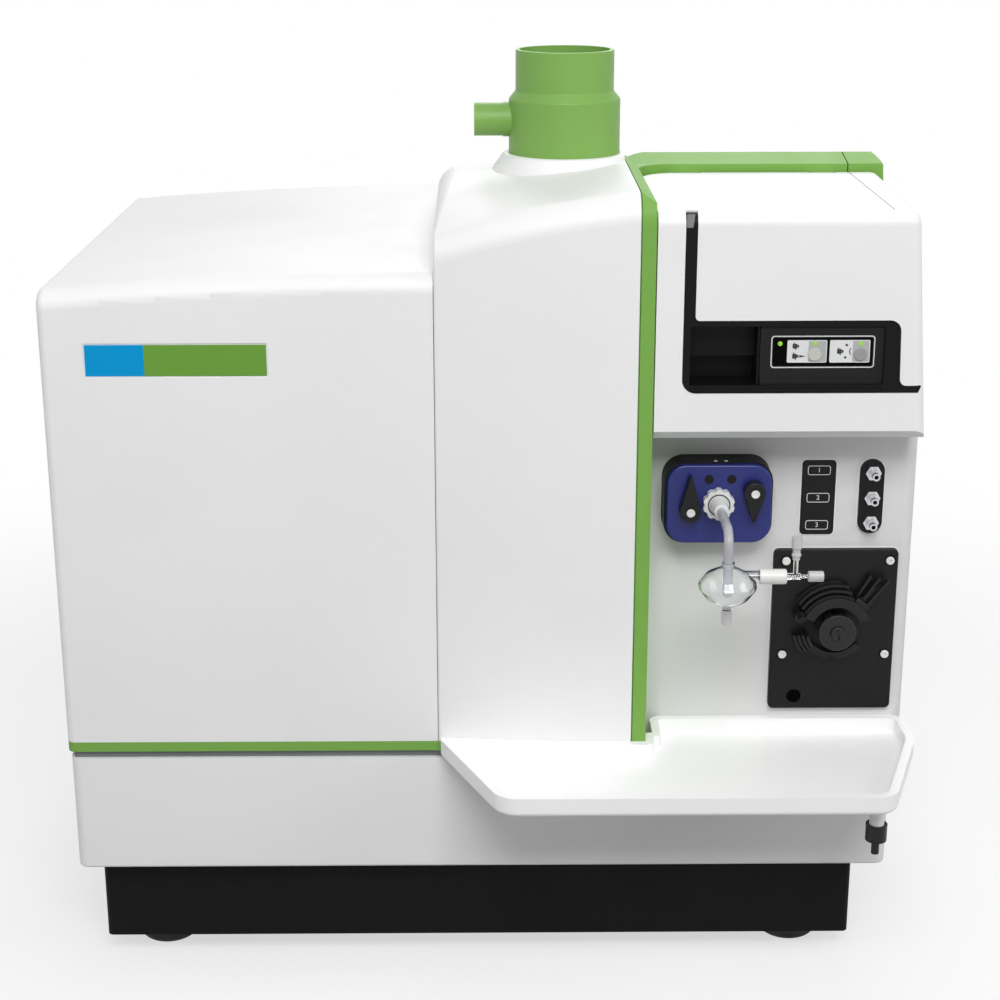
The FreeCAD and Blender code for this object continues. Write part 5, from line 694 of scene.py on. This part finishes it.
# Floor, world and lamps
FLOOR_GREY = (0.36, 0.36, 0.36, 1.0)
FLOOR_REACH = 6.0
FLOOR_LIFT = 0.62
FLOOR_NEAR = 0.75
FLOOR_FAR = 1.7
WORLD_STRENGTH = 0.24
PLAIN_WHITE = (1.0, 1.0, 1.0, 1.0)
LAMPS = (
    ("key", (0.2, -2.7, 2.8), (0.0, -0.2, 0.4), (2.0, 1.2), 75.0),
    ("left", (-2.4, -1.4, 1.8), (0.0, 0.0, 0.4), (1.4, 1.4), 10.0),
    ("right", (2.6, -1.0, 1.8), (0.0, 0.0, 0.4), (1.4, 1.4), 20.0),
    ("top", (0.0, 0.2, 3.0), (0.0, 0.0, 0.5), (2.0, 2.0), 6.0),
    ("back", (0.4, 2.9, 2.4), (0.0, 0.2, 0.4), (2.0, 1.4), 30.0),
)


def seen_rays(tree):
    """One for camera, glossy and transmission rays, and zero for the light that reaches the object."""
    path = tree.nodes.new("ShaderNodeLightPath")
    total = path.outputs["Is Camera Ray"]
    for kind in ("Is Glossy Ray", "Is Transmission Ray"):
        larger = tree.nodes.new("ShaderNodeMath")
        larger.operation = "MAXIMUM"
        tree.links.new(total, larger.inputs[0])
        tree.links.new(path.outputs[kind], larger.inputs[1])
        total = larger.outputs["Value"]
    return total


def floor_finish():
    """Pale floor that keeps the shadow close to the object and is plain white further out."""
    finish = Finish("floor_pale", FLOOR_GREY, 0.9)
    finish.vary(2.0, 0.01)
    finish.set("Specular IOR Level", 0.1)
    near = finish.add("ShaderNodeAddShader")
    lift = finish.add("ShaderNodeEmission")
    lift.inputs["Strength"].default_value = FLOOR_LIFT
    finish.link(finish.shader.outputs["BSDF"], near.inputs[0])
    finish.link(lift.outputs["Emission"], near.inputs[1])
    place = finish.add("ShaderNodeTexCoord")
    length = finish.add("ShaderNodeVectorMath", operation="LENGTH")
    finish.link(place.outputs["Object"], length.inputs[0])
    fade = finish.add("ShaderNodeMapRange", interpolation_type="SMOOTHSTEP")
    fade.inputs["From Min"].default_value = FLOOR_NEAR
    fade.inputs["From Max"].default_value = FLOOR_FAR
    finish.link(length.outputs["Value"], fade.inputs["Value"])
    plain = finish.add("ShaderNodeEmission")
    seen = finish.add("ShaderNodeMixShader")
    finish.link(fade.outputs["Result"], seen.inputs["Fac"])
    finish.link(near.outputs["Shader"], seen.inputs[1])
    finish.link(plain.outputs["Emission"], seen.inputs[2])
    rays = seen_rays(finish.tree)
    mix = finish.add("ShaderNodeMixShader")
    finish.link(rays, mix.inputs["Fac"])
    finish.link(finish.shader.outputs["BSDF"], mix.inputs[1])
    finish.link(seen.outputs["Shader"], mix.inputs[2])
    finish.link(mix.outputs["Shader"], finish.tree.nodes["Material Output"].inputs["Surface"])
    return finish.material


def make_floor():
    mesh = bpy.data.meshes.new("floor")
    r = FLOOR_REACH
    mesh.from_pydata([(-r, -r, 0.0), (r, -r, 0.0), (r, r, 0.0), (-r, r, 0.0)], [], [(0, 1, 2, 3)])
    floor = bpy.data.objects.new("floor", mesh)
    scene.collection.objects.link(floor)
    mesh.materials.append(floor_finish())


def area_lamp(name, place, target, size, power):
    """Rectangular lamp at a place, turned to its target, with its power in watts."""
    data = bpy.data.lights.new(name, "AREA")
    data.shape = "RECTANGLE"
    data.size, data.size_y = size
    data.energy = power
    lamp = bpy.data.objects.new(name, data)
    scene.collection.objects.link(lamp)
    lamp.location = place
    lamp.rotation_euler = (Vector(target) - Vector(place)).to_track_quat("-Z", "Y").to_euler()


def make_world():
    """Soft light on the object, and plain white where a ray sees the world."""
    world = bpy.data.worlds.new("studio")
    scene.world = world
    world.use_nodes = True
    tree = world.node_tree
    tree.nodes.clear()
    out = tree.nodes.new("ShaderNodeOutputWorld")
    mix = tree.nodes.new("ShaderNodeMixShader")
    soft = tree.nodes.new("ShaderNodeBackground")
    soft.inputs["Color"].default_value = PLAIN_WHITE
    soft.inputs["Strength"].default_value = WORLD_STRENGTH
    plain = tree.nodes.new("ShaderNodeBackground")
    plain.inputs["Color"].default_value = PLAIN_WHITE
    plain.inputs["Strength"].default_value = 1.0
    tree.links.new(seen_rays(tree), mix.inputs["Fac"])
    tree.links.new(soft.outputs["Background"], mix.inputs[1])
    tree.links.new(plain.outputs["Background"], mix.inputs[2])
    tree.links.new(mix.outputs["Shader"], out.inputs["Surface"])


make_camera()
dress_nodes()
control_details()
key_details()
gas_labels()
plate_highlights_and_hole_shade()
mount_marks()
nut_shadow_ring()
seam_shadows()
slot_insert()
screw_details()
make_floor()
make_world()
for lamp in LAMPS:
    area_lamp(*lamp)
scene.view_settings.view_transform = "Standard"
